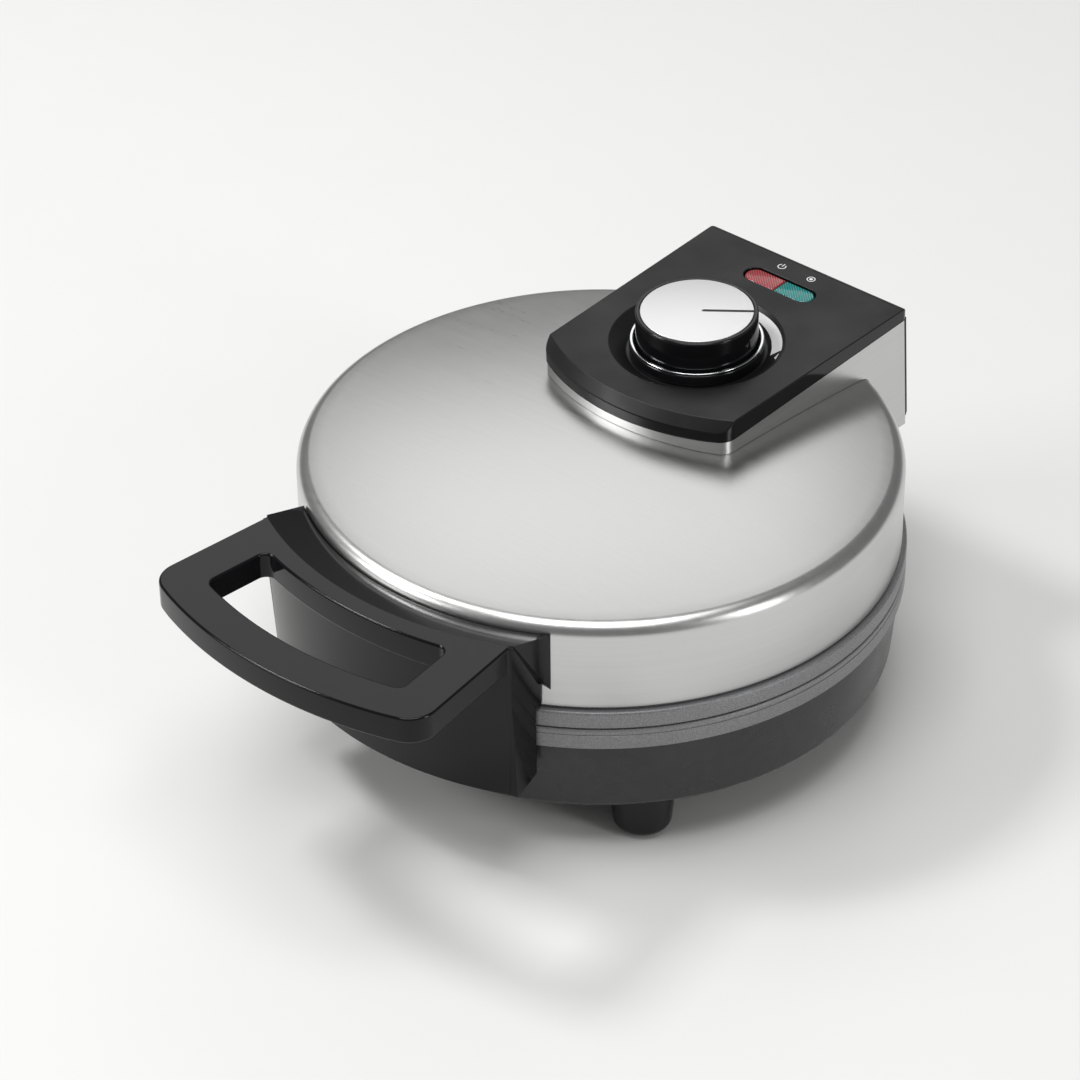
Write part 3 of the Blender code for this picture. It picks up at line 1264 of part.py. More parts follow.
def make_dial_collar(panel_frame):
    bottom = -DISH_DEPTH + GAP
    top = bottom + COLLAR_HEIGHT
    inner = COLLAR_RADIUS - COLLAR_WALL
    profile = [(COLLAR_RADIUS, top), (COLLAR_RADIUS, bottom), (inner, bottom), (inner, top)]
    collar = turned("dial_collar", panel_frame, profile, DIAL_STEPS)
    collar.location = (0.0, KNOB_PLACE, 0.0)
    finish(collar, "gloss_black")
    trim_bottom = top + GAP
    trim_top = trim_bottom + TRIM_HEIGHT
    inner += GAP
    outer = inner + TRIM_WIDTH
    profile = [(outer, trim_top), (outer, trim_bottom), (inner, trim_bottom), (inner, trim_top)]
    trim = turned("collar_trim", panel_frame, profile, DIAL_STEPS)
    trim.location = (0.0, KNOB_PLACE, 0.0)
    finish(trim, "chrome")


def make_lenses(panel_frame):
    """Two D-shaped lenses that share one slot, and sit a little below the panel's face."""
    length = LENS_SLOT_LENGTH - 2 * LENS_PLAY
    width = LENS_SLOT_WIDTH - 2 * LENS_PLAY
    top = -LENS_SINK
    for name, sign, look in (("power_lens", -1, "red_lens"), ("ready_lens", 1, "green_lens")):
        outline = slot(length, width, (0.0, LENS_PLACE))
        half = [(x, y) for x, y in outline if x * sign > GAP]
        split = sign * GAP / 2
        reach = sign * width / 2
        edge = [(split, LENS_PLACE + reach), (split, LENS_PLACE - reach)]
        lens = plate(name, panel_frame, half + edge, -PANEL_THICKNESS, top)
        finish(lens, look)


def make_lamps(panel_frame):
    width, length, height = LAMP_HOLDER_SIZE
    top = -PANEL_THICKNESS - GAP
    low = (-width / 2, LENS_PLACE - length / 2, top - height)
    high = (width / 2, LENS_PLACE + length / 2, top)
    holder = block("lamp_holder", panel_frame, low, high)
    for name, sign in (("power_lamp", -1), ("ready_lamp", 1)):
        place = (sign * LAMP_SPACING / 2, LENS_PLACE, top)
        bore = rod(f"cut_{name}", panel_frame, LAMP_RADIUS + GAP, -LAMP_LENGTH - 2 * GAP, height, SMALL_STEPS)
        bore.location = place
        cut(holder, bore)
        dome = arc((0.0, -LAMP_RADIUS), LAMP_RADIUS, math.pi / 2, 0.0, 4)[1:]
        profile = [(0.0, 0.0), *dome, (LAMP_RADIUS, -LAMP_LENGTH), (0.0, -LAMP_LENGTH)]
        lamp = turned(name, panel_frame, profile, SMALL_STEPS, closed=False)
        lamp.location = (place[0], place[1], place[2] - GAP)
        finish(lamp, "lamp_glass")
    return finish(holder, "black_plastic")


def make_thermostat(panel_frame, axis):
    half = THERMOSTAT_SIDE / 2
    top = DISH_UNDERSIDE - GAP
    bottom = top - THERMOSTAT_HEIGHT
    low = (-half, KNOB_PLACE - half, bottom)
    high = (half, KNOB_PLACE + half, top)
    body = block("thermostat", panel_frame, low, high)
    socket_floor = bottom + THERMOSTAT_HEIGHT / 2
    socket = rod("cut_thermostat_shaft", panel_frame, SHAFT_RADIUS + GAP, socket_floor, -bottom)
    socket.location = (0.0, KNOB_PLACE, 0.0)
    cut(body, socket)
    finish(body, "white_ceramic")

    strap_top = bottom - GAP
    reflector_top = UPPER_GRID_TOP + LIP_THICKNESS + 2 * GAP + REFLECTOR_DEPTH + REFLECTOR_SHEET
    foot = reflector_top + 2 * GAP - PANEL_HEIGHT - PANEL_TILT * KNOB_PLACE
    sheet = BRACKET_SHEET
    flange = half + THERMOSTAT_BRACKET_FLANGE
    outline = [
        (-half, strap_top),
        (-half, foot + sheet),
        (-flange, foot + sheet),
        (-flange, foot),
        (-half + sheet, foot),
        (-half + sheet, strap_top - sheet),
        (half - sheet, strap_top - sheet),
        (half - sheet, foot),
        (flange, foot),
        (flange, foot + sheet),
        (half, foot + sheet),
        (half, strap_top),
    ]
    near = KNOB_PLACE - THERMOSTAT_BRACKET_WIDTH / 2
    bracket = front_plate("thermostat_bracket", panel_frame, outline, near, near + THERMOSTAT_BRACKET_WIDTH)
    finish(bracket, "zinc_steel")

    fuse = rod("thermal_fuse", axis, FUSE_RADIUS, -FUSE_LENGTH / 2, FUSE_LENGTH / 2)
    fuse.location = (*FUSE_PLACE, reflector_top + GAP + FUSE_RADIUS)
    fuse.rotation_euler = (0.0, math.pi / 2, 0.0)
    finish(fuse, "white_ceramic")


# Knob, around its own axis in the panel's frame -----------------------------------------------------
def make_knob(knob_frame):
    bottom = -DISH_DEPTH + KNOB_SKIRT_CLEARANCE
    inner = KNOB_RADIUS - KNOB_WALL
    disc_seat = KNOB_HEIGHT - KNOB_DISC_DEPTH
    ceiling = disc_seat - KNOB_WALL
    profile = [
        (0.0, disc_seat),
        (KNOB_DISC_RADIUS + GAP, disc_seat),
        (KNOB_DISC_RADIUS + GAP, KNOB_HEIGHT),
        (KNOB_RADIUS - POINTER_DEPTH, KNOB_HEIGHT),
        (KNOB_RADIUS, KNOB_HEIGHT - POINTER_DEPTH),
        (KNOB_RADIUS, bottom),
        (inner, bottom),
        (inner, ceiling),
        (KNOB_HUB_RADIUS, ceiling),
        (KNOB_HUB_RADIUS, bottom),
        (0.0, bottom),
    ]
    knob = turned("knob", knob_frame, profile, DIAL_STEPS, closed=False)
    cut(knob, shaft_shape("cut_knob_shaft", knob_frame, GAP, 2 * bottom, ceiling))
    finish(knob, "gloss_black")

    disc = rod("knob_disc", knob_frame, KNOB_DISC_RADIUS, disc_seat + GAP, KNOB_HEIGHT, DIAL_STEPS)
    half = POINTER_WIDTH / 2
    low = (-POINTER_START, -half, KNOB_HEIGHT - POINTER_DEPTH)
    high = (2 * KNOB_RADIUS, half, 2 * KNOB_HEIGHT)
    cut(disc, block("cut_pointer", knob_frame, low, high))
    finish(disc, "silver_disc")

    shaft_bottom = DISH_UNDERSIDE - GAP - THERMOSTAT_HEIGHT / 2 + GAP
    shaft = shaft_shape("thermostat_shaft", knob_frame, 0.0, shaft_bottom, ceiling - GAP)
    finish(shaft, "zinc_steel")


def shaft_shape(name, knob_frame, play, low, high):
    """A shaft with one flat side, or its hole when there is play."""
    radius = SHAFT_RADIUS + play
    reach = math.acos((SHAFT_FLAT + play) / radius)
    outline = arc((0.0, 0.0), radius, reach, 2 * math.pi - reach, 20)
    return plate(name, knob_frame, outline, low, high)


def make_inlet(axis):
    wall = base_radius(INLET_HEIGHT, BASE_WALL) * math.cos(math.pi / FULL_STEPS)
    inside = wall - INLET_FLANGE_RADIUS**2 / (2 * wall) - GAP
    outside = BASE_TOP_RADIUS + BRACKET_DEPTH + GAP
    profile = [
        (INLET_FLANGE_RADIUS, outside + INLET_FLANGE - inside),
        (INLET_FLANGE_RADIUS, outside - inside),
        (INLET_BODY_RADIUS, outside - inside),
        (INLET_BODY_RADIUS, -INLET_FLANGE),
        (INLET_BORE, -INLET_FLANGE),
        (INLET_BORE, outside + INLET_FLANGE - inside),
    ]
    inlet = turned("cord_inlet", axis, profile, SMALL_STEPS)
    point_outwards(inlet, math.pi, inside, INLET_HEIGHT)
    return finish(inlet, "black_rubber")


def make_base(axis):
    make_base_shell(axis)
    make_feet(axis)
    make_lower_ring(axis)
    make_grid("lower_grid_plate", axis, LOWER_GRID_BOTTOM, LOWER_GRID_TOP, LOWER_GRID_TOP, 1)
    level = LOWER_GRID_BOTTOM - GAP - HEATER_TUBE
    make_heater("lower_heater", axis, level, -1)
    make_heater_clips("lower_heater_clip", axis, level, -1)
    make_reflector("lower_reflector", axis, LOWER_GRID_BOTTOM - GAP - LIP_THICKNESS, -1)
    make_terminal_block(axis)
    make_hinge_bracket(axis)
    make_bracket_screws(axis)
    make_hinge_pins(axis)
    make_inlet(axis)


def make_lid(axis, panel_frame, back_frame):
    make_lid_cover(axis)
    make_upper_ring(axis)
    make_grid("upper_grid_plate", axis, UPPER_GRID_BOTTOM, UPPER_GRID_TOP, UPPER_GRID_BOTTOM, -1)
    level = UPPER_GRID_TOP + GAP + HEATER_TUBE
    make_heater("upper_heater", axis, level, 1)
    make_heater_clips("upper_heater_clip", axis, level, 1)
    make_reflector("upper_reflector", axis, UPPER_GRID_TOP + GAP + LIP_THICKNESS, 1)
    make_handle(axis)
    make_lid_screws(axis)
    make_hinge_arms(axis, back_frame)
    make_control_housing(axis, panel_frame, back_frame)
    make_back_cover(panel_frame, back_frame)
    make_back_screws(back_frame)
    make_control_panel(panel_frame)
    make_dial_collar(panel_frame)
    make_lenses(panel_frame)
    make_lamps(panel_frame)
    make_thermostat(panel_frame, axis)


def main():
    axis = empty("body_axis", None, (0.0, BODY_AXIS_PLACE, 0.0))
    hinge = empty("lid_hinge", axis, (0.0, HINGE_PLACE, HINGE_HEIGHT))
    lid_axis = empty("lid_axis", hinge, (0.0, -HINGE_PLACE, -HINGE_HEIGHT))
    panel_frame = empty("panel_frame", lid_axis, (0.0, 0.0, PANEL_HEIGHT), PANEL_TILT)
    back_frame = empty("back_frame", lid_axis, (0.0, HOUSING_REAR, HOUSING_TOP), BACK_LEAN)
    knob_frame = empty("knob_frame", panel_frame, (0.0, KNOB_PLACE, 0.0))
    knob_frame.rotation_euler = (0.0, 0.0, POINTER_ANGLE)
    make_base(axis)
    make_lid(lid_axis, panel_frame, back_frame)
    make_knob(knob_frame)


clear_scene()
PARTS = collection("waffle_maker")
CUTTERS = collection("cutters")
main()
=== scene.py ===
"""Round Belgian waffle maker, laid out as an add-on: a sidebar panel lists one operator a piece.

Each piece is modelled in metres in a frame of its own (the round body, the tilted panel or the
knob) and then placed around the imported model, whose bodies it rides on."""

import json
import math

import bmesh
import bpy
from bpy.props import FloatProperty, FloatVectorProperty, PointerProperty
from mathutils import Matrix, Vector


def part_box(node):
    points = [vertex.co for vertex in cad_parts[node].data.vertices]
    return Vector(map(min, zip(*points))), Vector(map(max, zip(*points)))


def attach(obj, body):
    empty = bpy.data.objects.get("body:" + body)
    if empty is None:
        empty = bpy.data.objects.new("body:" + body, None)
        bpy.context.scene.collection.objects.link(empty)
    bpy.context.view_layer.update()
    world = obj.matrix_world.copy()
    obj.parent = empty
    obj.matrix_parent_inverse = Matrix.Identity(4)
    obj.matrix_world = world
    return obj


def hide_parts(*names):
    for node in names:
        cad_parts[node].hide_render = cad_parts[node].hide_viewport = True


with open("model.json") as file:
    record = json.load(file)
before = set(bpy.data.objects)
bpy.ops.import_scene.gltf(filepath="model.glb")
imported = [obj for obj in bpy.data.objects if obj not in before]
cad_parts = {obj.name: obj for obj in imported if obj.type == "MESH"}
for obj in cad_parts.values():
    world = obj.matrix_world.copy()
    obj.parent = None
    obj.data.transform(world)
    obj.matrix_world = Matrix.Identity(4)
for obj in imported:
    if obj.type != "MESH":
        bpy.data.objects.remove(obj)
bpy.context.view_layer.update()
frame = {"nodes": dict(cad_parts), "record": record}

bl_info = {
    "name": "Round waffle maker",
    "version": (1, 0, 0),
    "blender": (4, 5, 0),
    "location": "View3D > Sidebar > Waffle maker",
    "description": "Builds the visible pieces of a round waffle maker around its packed model",
    "category": "Add Mesh",
}

LID_LOW, LID_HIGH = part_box("lid_cover")
LOWER_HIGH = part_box("lower_plate_ring")[1]
UPPER_LOW, UPPER_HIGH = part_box("upper_plate_ring")
SHELL_LOW, SHELL_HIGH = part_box("base_shell")
HANDLE_LOW, HANDLE_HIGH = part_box("handle")
AXIS_PLACE = (LID_LOW[1] + LID_HIGH[1]) / 2
GAP = 0.0003
SMOOTH_ANGLE = math.radians(32)
BODY_STEPS = 256
HANDLE_STEPS = 288
RING_STEPS = 192
SMALL_STEPS = 64
CORNER_STEPS = 6
BOW_RADIUS = 0.0874
BOW_CENTRE = (0.0, 0.0937)
SIGN_RADIUS = 0.0017
STROKE = 0.00035
FEET = ("front_right", "rear_right", "rear_left", "front_left")


# Sizes and colours that a user would change -----------------------------------------------------
def length(name, default, description):
    return FloatProperty(
        name=name, default=default, description=description, unit="LENGTH", precision=4
    )


def angle(name, degrees, description):
    default = math.radians(degrees)
    return FloatProperty(name=name, default=default, description=description, subtype="ANGLE")


def colour(name, default, description):
    kind = {"subtype": "COLOR", "size": 3, "min": 0.0, "max": 1.0}
    return FloatVectorProperty(name=name, default=default, description=description, **kind)


def share(name, default, description):
    return FloatProperty(name=name, default=default, description=description, min=0.0, max=1.0)


class BodySizes(bpy.types.PropertyGroup):
    lid_radius: length("Lid radius", LID_HIGH[0], "Radius of the steel skirt")
    skirt_foot: length("Skirt foot", LID_LOW[2], "Height of the skirt's lower edge")
    crown: length("Crown", LID_HIGH[2], "Height of the middle of the lid")
    dome_rise: length("Dome rise", 0.0060, "Rise of the dome over its rim")
    rim_fillet: length("Rim fillet", 0.0056, "Radius between dome and skirt")
    sheet: length("Sheet", 0.0008, "Thickness of the steel sheet")
    band_radius: length("Band radius", LOWER_HIGH[0], "Radius of the two cast bands")
    cavity_radius: length("Cavity radius", 0.0906, "Radius of the baking cavity")
    shell_radius: length("Shell radius", SHELL_HIGH[0], "Radius of the base at its top")
    shell_foot_radius: length("Shell foot radius", 0.1098, "Radius of the base at its foot")
    shell_fillet: length("Shell fillet", 0.0030, "Radius of the base's lower edge")
    foot_circle: length("Foot circle", 0.0950, "Distance of the feet from the body's axis")
    foot_angle: angle("Foot angle", 50, "Angle of the feet from the handle's direction")
    foot_height: length("Foot height", SHELL_LOW[2], "Height of the base's underside")


class HandleSizes(bpy.types.PropertyGroup):
    top: length("Top", 0.1039, "Height of the grip plate's top")
    thickness: length("Thickness", 0.0105, "Thickness of the grip plate")
    reach: length("Reach", AXIS_PLACE - HANDLE_LOW[1], "Reach of the grip plate from the body's axis")
    corner_place: length("Corner place", 0.1660, "Distance of the front corners from the body's axis")
    front_half: length("Front half width", HANDLE_HIGH[0], "Half width at the front corners")
    root_half: length("Root half width", 0.0588, "Half width at the root")
    root_place: length("Root place", 0.1142, "Distance of the root from the body's axis")
    corner_radius: length("Corner radius", 0.0110, "Radius of the front corners")
    crease_radius: length("Crease radius", 0.1288, "Radius of the crease above the collar")
    apron_radius: length("Apron radius", 0.1300, "Radius of the apron's face at its top")
    apron_foot_radius: length("Apron foot radius", 0.1266, "Radius of the apron's face at its foot")
    apron_foot: length("Apron foot", HANDLE_LOW[2], "Height of the apron's lower edge")
    edge: length("Edge rounding", 0.0009, "Radius of the moulding's edges")


class ControlSizes(bpy.types.PropertyGroup):
    height: length("Panel height", 0.1203, "Height of the panel's plane above the body's axis")
    tilt: angle("Panel tilt", 1.1287, "Rise of the panel towards the rear")
    thickness: length("Panel thickness", 0.0048, "Thickness of the panel's rim")
    front_half: length("Front half width", 0.0447, "Half width at the front corners")
    rear_half: length("Rear half width", 0.0471, "Half width at the rear edge")
    front_corner: length("Front corner", 0.0200, "Place of the front corners behind the body's axis")
    rear: length("Rear", 0.1234, "Place of the panel's rear edge")
    housing_rear: length("Housing rear", 0.1216, "Place of the housing's rear edge at its top")
    housing_foot: length("Housing foot", 0.0681, "Height of the housing's lower edge")
    back_lean: angle("Back lean", 4.8, "Lean of the housing's back")
    knob_place: length("Knob place", 0.0548, "Place of the dial behind the body's axis")
    dish_radius: length("Dish radius", 0.0330, "Radius of the dish around the knob")
    dish_floor: length("Dish floor", 0.0265, "Radius of the dish's floor")
    dish_depth: length("Dish depth", 0.0045, "Depth of the dish")
    knob_radius: length("Knob radius", 0.0230, "Radius of the knob")
    knob_height: length("Knob height", 0.0129, "Height of the knob over the panel")
    pointer_angle: angle("Pointer angle", 37.8, "Turn of the pointer from the right-hand direction")
    lens_place: length("Lens place", 0.1040, "Place of the lenses behind the body's axis")
    lens_length: length("Lens length", 0.0325, "Length of the slot that both lenses share")
    lens_width: length("Lens width", 0.0095, "Width of that slot")


class Finishes(bpy.types.PropertyGroup):
    steel: colour("Steel", (0.60, 0.60, 0.595), "Brushed stainless steel")
    casting: colour("Casting", (0.20, 0.20, 0.205), "Coated die casting")
    coating: colour("Coating", (0.035, 0.035, 0.037), "Non-stick coating of the baking plates")
    satin_black: colour("Satin black", (0.008, 0.008, 0.0085), "Satin black moulding")
    shell_black: colour("Shell black", (0.036, 0.036, 0.037), "Semi-gloss black of the base")
    gloss_black: colour("Gloss black", (0.006, 0.006, 0.007), "Polished black moulding")
    rubber: colour("Rubber", (0.018, 0.018, 0.018), "Rubber pads and grommet")
    zinc: colour("Zinc", (0.50, 0.51, 0.53), "Zinc plated steel")
    sheath: colour("Sheath", (0.13, 0.12, 0.11), "Heat-darkened heater sheath")
    sheet_metal: colour("Aluminium sheet", (0.70, 0.71, 0.72), "Mill-finish aluminium")
    ceramic: colour("Ceramic", (0.78, 0.76, 0.70), "Unglazed ceramic")
    disc: colour("Knob disc", (0.62, 0.62, 0.62), "Silver-white disc on the knob")
    ink: colour("Ink", (0.80, 0.80, 0.80), "Printed marks")
    red_lens: colour("Power lens", (0.26, 0.030, 0.035), "Lens of the power lamp")
    green_lens: colour("Ready lens", (0.004, 0.17, 0.16), "Lens of the ready lamp")


class StageSettings(bpy.types.PropertyGroup):
    floor: colour("Floor", (0.80, 0.80, 0.79), "Colour of the floor")
    room: share("Room light", 0.20, "Strength of the even light from all round")


def settings():
    return bpy.context.scene.waffle_maker


class WaffleMaker(bpy.types.PropertyGroup):
    body: PointerProperty(type=BodySizes)
    handle: PointerProperty(type=HandleSizes)
    control: PointerProperty(type=ControlSizes)
    finish: PointerProperty(type=Finishes)
    stage: PointerProperty(type=StageSettings)


# Frames that pieces are modelled in -------------------------------------------------------------
def body_frame():
    return Matrix.Translation((0.0, AXIS_PLACE, 0.0))


def panel_frame():
    control = settings().control
    turn = Matrix.Rotation(control.tilt, 4, "X")
    return body_frame() @ Matrix.Translation((0.0, 0.0, control.height)) @ turn


def dial_frame():
    return panel_frame() @ Matrix.Translation((0.0, settings().control.knob_place, 0.0))


def knob_frame():
    return dial_frame() @ Matrix.Rotation(settings().control.pointer_angle, 4, "Z")


# Modelling by hand, in words --------------------------------------------------------------------
def object_mode():
    if bpy.context.object and bpy.context.object.mode != "OBJECT":
        bpy.ops.object.mode_set(mode="OBJECT")


def named(name):
    """Names the shape that an operator has just added."""
    piece = bpy.context.object
    piece.name = name
    piece.data.name = name
    return piece


def copy_of(name, source):
    piece = bpy.data.objects.new(name, source.data.copy())
    bpy.context.scene.collection.objects.link(piece)
    return piece


def activate(piece):
    object_mode()
    bpy.ops.object.select_all(action="DESELECT")
    piece.select_set(True)
    bpy.context.view_layer.objects.active = piece


def edit(piece, kind="VERT"):
    activate(piece)
    bpy.ops.object.mode_set(mode="EDIT")
    bpy.ops.mesh.select_mode(type=kind)
    bpy.ops.mesh.select_all(action="DESELECT")


def pick(piece, kind, test):
    """Selects the vertices, edges or faces that pass a test, and nothing else."""
    bpy.ops.mesh.select_mode(type=kind)
    bpy.ops.mesh.select_all(action="DESELECT")
    shape = bmesh.from_edit_mesh(piece.data)
    items = {"VERT": shape.verts, "EDGE": shape.edges, "FACE": shape.faces}[kind]
    for item in items:
        if test(item):
            item.select = True
    shape.select_flush_mode()
    bmesh.update_edit_mesh(piece.data)


def chain(name, points, closed):
    """A row of edges through the points, drawn on from a small plane merged to one vertex."""
    object_mode()
    bpy.ops.object.select_all(action="DESELECT")
    bpy.ops.mesh.primitive_plane_add(size=0.001, location=(0.0, 0.0, 0.0))
    piece = named(name)
    bpy.ops.object.mode_set(mode="EDIT")
    bpy.ops.mesh.select_mode(type="VERT")
    bpy.ops.mesh.select_all(action="SELECT")
    bpy.ops.mesh.merge(type="CENTER")
    bpy.ops.transform.translate(value=points[0])
    for before, after in zip(points, points[1:]):
        step = [new - old for old, new in zip(before, after)]
        bpy.ops.mesh.extrude_vertices_move(TRANSFORM_OT_translate={"value": step})
    if closed:
        ends = {0, len(points) - 1}
        pick(piece, "VERT", lambda vertex: vertex.index in ends)
        bpy.ops.mesh.edge_face_add()
    bpy.ops.mesh.select_all(action="SELECT")
    return piece


def tidy_surface(reach=0.000002):
    """Merges points within reach of each other and turns every face outwards."""
    bpy.ops.mesh.select_all(action="SELECT")
    bpy.ops.mesh.remove_doubles(threshold=reach)
    bpy.ops.mesh.normals_make_consistent(inside=False)


def turned(name, profile, steps=RING_STEPS, closed=True):
    """A (radius, height) profile spun about the Z axis."""
    piece = chain(name, [(radius, 0.0, height) for radius, height in profile], closed)
    bpy.ops.mesh.spin(steps=steps, angle=2 * math.pi, center=(0.0, 0.0, 0.0), axis=(0.0, 0.0, 1.0))
    tidy_surface()
    return piece


def plate(name, outline, low, high):
    """A flat outline of (x, y) points filled and extruded from one height to the other."""
    piece = chain(name, [(x, y, low) for x, y in outline], True)
    bpy.ops.mesh.edge_face_add()
    bpy.ops.mesh.extrude_region_move(TRANSFORM_OT_translate={"value": (0.0, 0.0, high - low)})
    tidy_surface()
    return piece


def block(name, low, high):
    centre = [(a + b) / 2 for a, b in zip(low, high)]
    size = [b - a for a, b in zip(low, high)]
    object_mode()
    bpy.ops.object.select_all(action="DESELECT")
    bpy.ops.mesh.primitive_cube_add(size=1.0, location=centre, scale=size)
    piece = named(name)
    bpy.ops.object.transform_apply(location=True, rotation=True, scale=True)
    return piece


def moved(piece, matrix):
    activate(piece)
    piece.matrix_world = matrix
    bpy.ops.object.transform_apply(location=True, rotation=True, scale=True)
    return piece


def carve(piece, other, operation="DIFFERENCE"):
    """Applies a Boolean and removes the other shape."""
    activate(piece)
    modifier = piece.modifiers.new("carve", "BOOLEAN")
    modifier.operation = operation
    modifier.object = other
    modifier.solver = "EXACT"
    bpy.ops.object.modifier_apply(modifier=modifier.name)
    bpy.data.objects.remove(other, do_unlink=True)


def whole_faces(piece, degrees=0.4):
    """Merges doubled points and dissolves edges between faces in one plane."""
    edit(piece)
    tidy_surface(0.000005)
    bpy.ops.mesh.dissolve_limited(angle_limit=math.radians(degrees))


def round_edges(piece, width, segments=3, degrees=32, test=None):
    """Bevels the sharp edges, or those of them that pass a test."""
    edit(piece, "EDGE")
    bpy.ops.mesh.edges_select_sharp(sharpness=math.radians(degrees))
    if test:
        shape = bmesh.from_edit_mesh(piece.data)
        for edge in shape.edges:
            if edge.select and not test(edge):
                edge.select = False
        bmesh.update_edit_mesh(piece.data)
    bpy.ops.mesh.bevel(offset=width, segments=segments, profile=0.5, clamp_overlap=False)
    tidy_surface()


def settle(piece, body, matrix, finish, nodes=(), weighted=False):
    """Puts a finished shape in its place, on its body, in its material."""
    if not piece.data.polygons:
        raise RuntimeError(f"{piece.name} has no faces")
    moved(piece, matrix)
    bpy.ops.object.shade_smooth_by_angle(angle=SMOOTH_ANGLE)
    if weighted:
        modifier = piece.modifiers.new("even", "WEIGHTED_NORMAL")
        modifier.keep_sharp = True
        bpy.ops.object.modifier_apply(modifier=modifier.name)
    piece.data.materials.clear()
    piece.data.materials.append(material(finish))
    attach(piece, body)
    if nodes:
        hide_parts(*nodes)


def coat_faces(piece, finish, test):
    """Gives the faces that pass a test a second material."""
    piece.data.materials.append(material(finish))
    edit(piece)
    pick(piece, "FACE", test)
    piece.active_material_index = 1
    bpy.ops.object.material_slot_assign()
    object_mode()


# Outlines ---------------------------------------------------------------------------------------
def arc(centre, radius, start, end, count):
    """Points along an arc, both ends included."""
    points = []
    for i in range(count + 1):
        turn = start + (end - start) * i / count
        points.append((centre[0] + radius * math.cos(turn), centre[1] + radius * math.sin(turn)))
    return points


def rounded(corners, count=CORNER_STEPS):
    """An outline whose (x, y, radius) corners are rounded off, each by an arc of its radius."""
    points = []
    for i, (x, y, radius) in enumerate(corners):
        if not radius:
            points.append((x, y))
            continue
        before = corners[i - 1]
        after = corners[(i + 1) % len(corners)]
        back = math.atan2(before[1] - y, before[0] - x)
        ahead = math.atan2(after[1] - y, after[0] - x)
        half = ((ahead - back + math.pi) % (2 * math.pi) - math.pi) / 2
        middle = back + half
        distance = radius / math.sin(abs(half))
        centre = (x + distance * math.cos(middle), y + distance * math.sin(middle))
        swing = (math.pi / 2 - abs(half)) * (1 if half > 0 else -1)
        start = middle + math.pi + swing
        points += arc(centre, radius, start, start - 2 * swing, count)
    return points


def bow(half_width, place, sagitta, count):
    """A shallow arc that bulges towards -Y, from x = -half_width to x = half_width."""
    radius = (half_width**2 + sagitta**2) / (2 * sagitta)
    reach = math.asin(half_width / radius)
    return arc((0.0, radius - place), radius, -math.pi / 2 - reach, -math.pi / 2 + reach, count)


def pill(run, width, centre, count=16):
    """A slot's outline: two half circles and the straight sides between them."""
    radius = width / 2
    straight = run / 2 - radius
    right = arc((centre[0] + straight, centre[1]), radius, -math.pi / 2, math.pi / 2, count)
    left = arc((centre[0] - straight, centre[1]), radius, math.pi / 2, 3 * math.pi / 2, count)
    return right + left


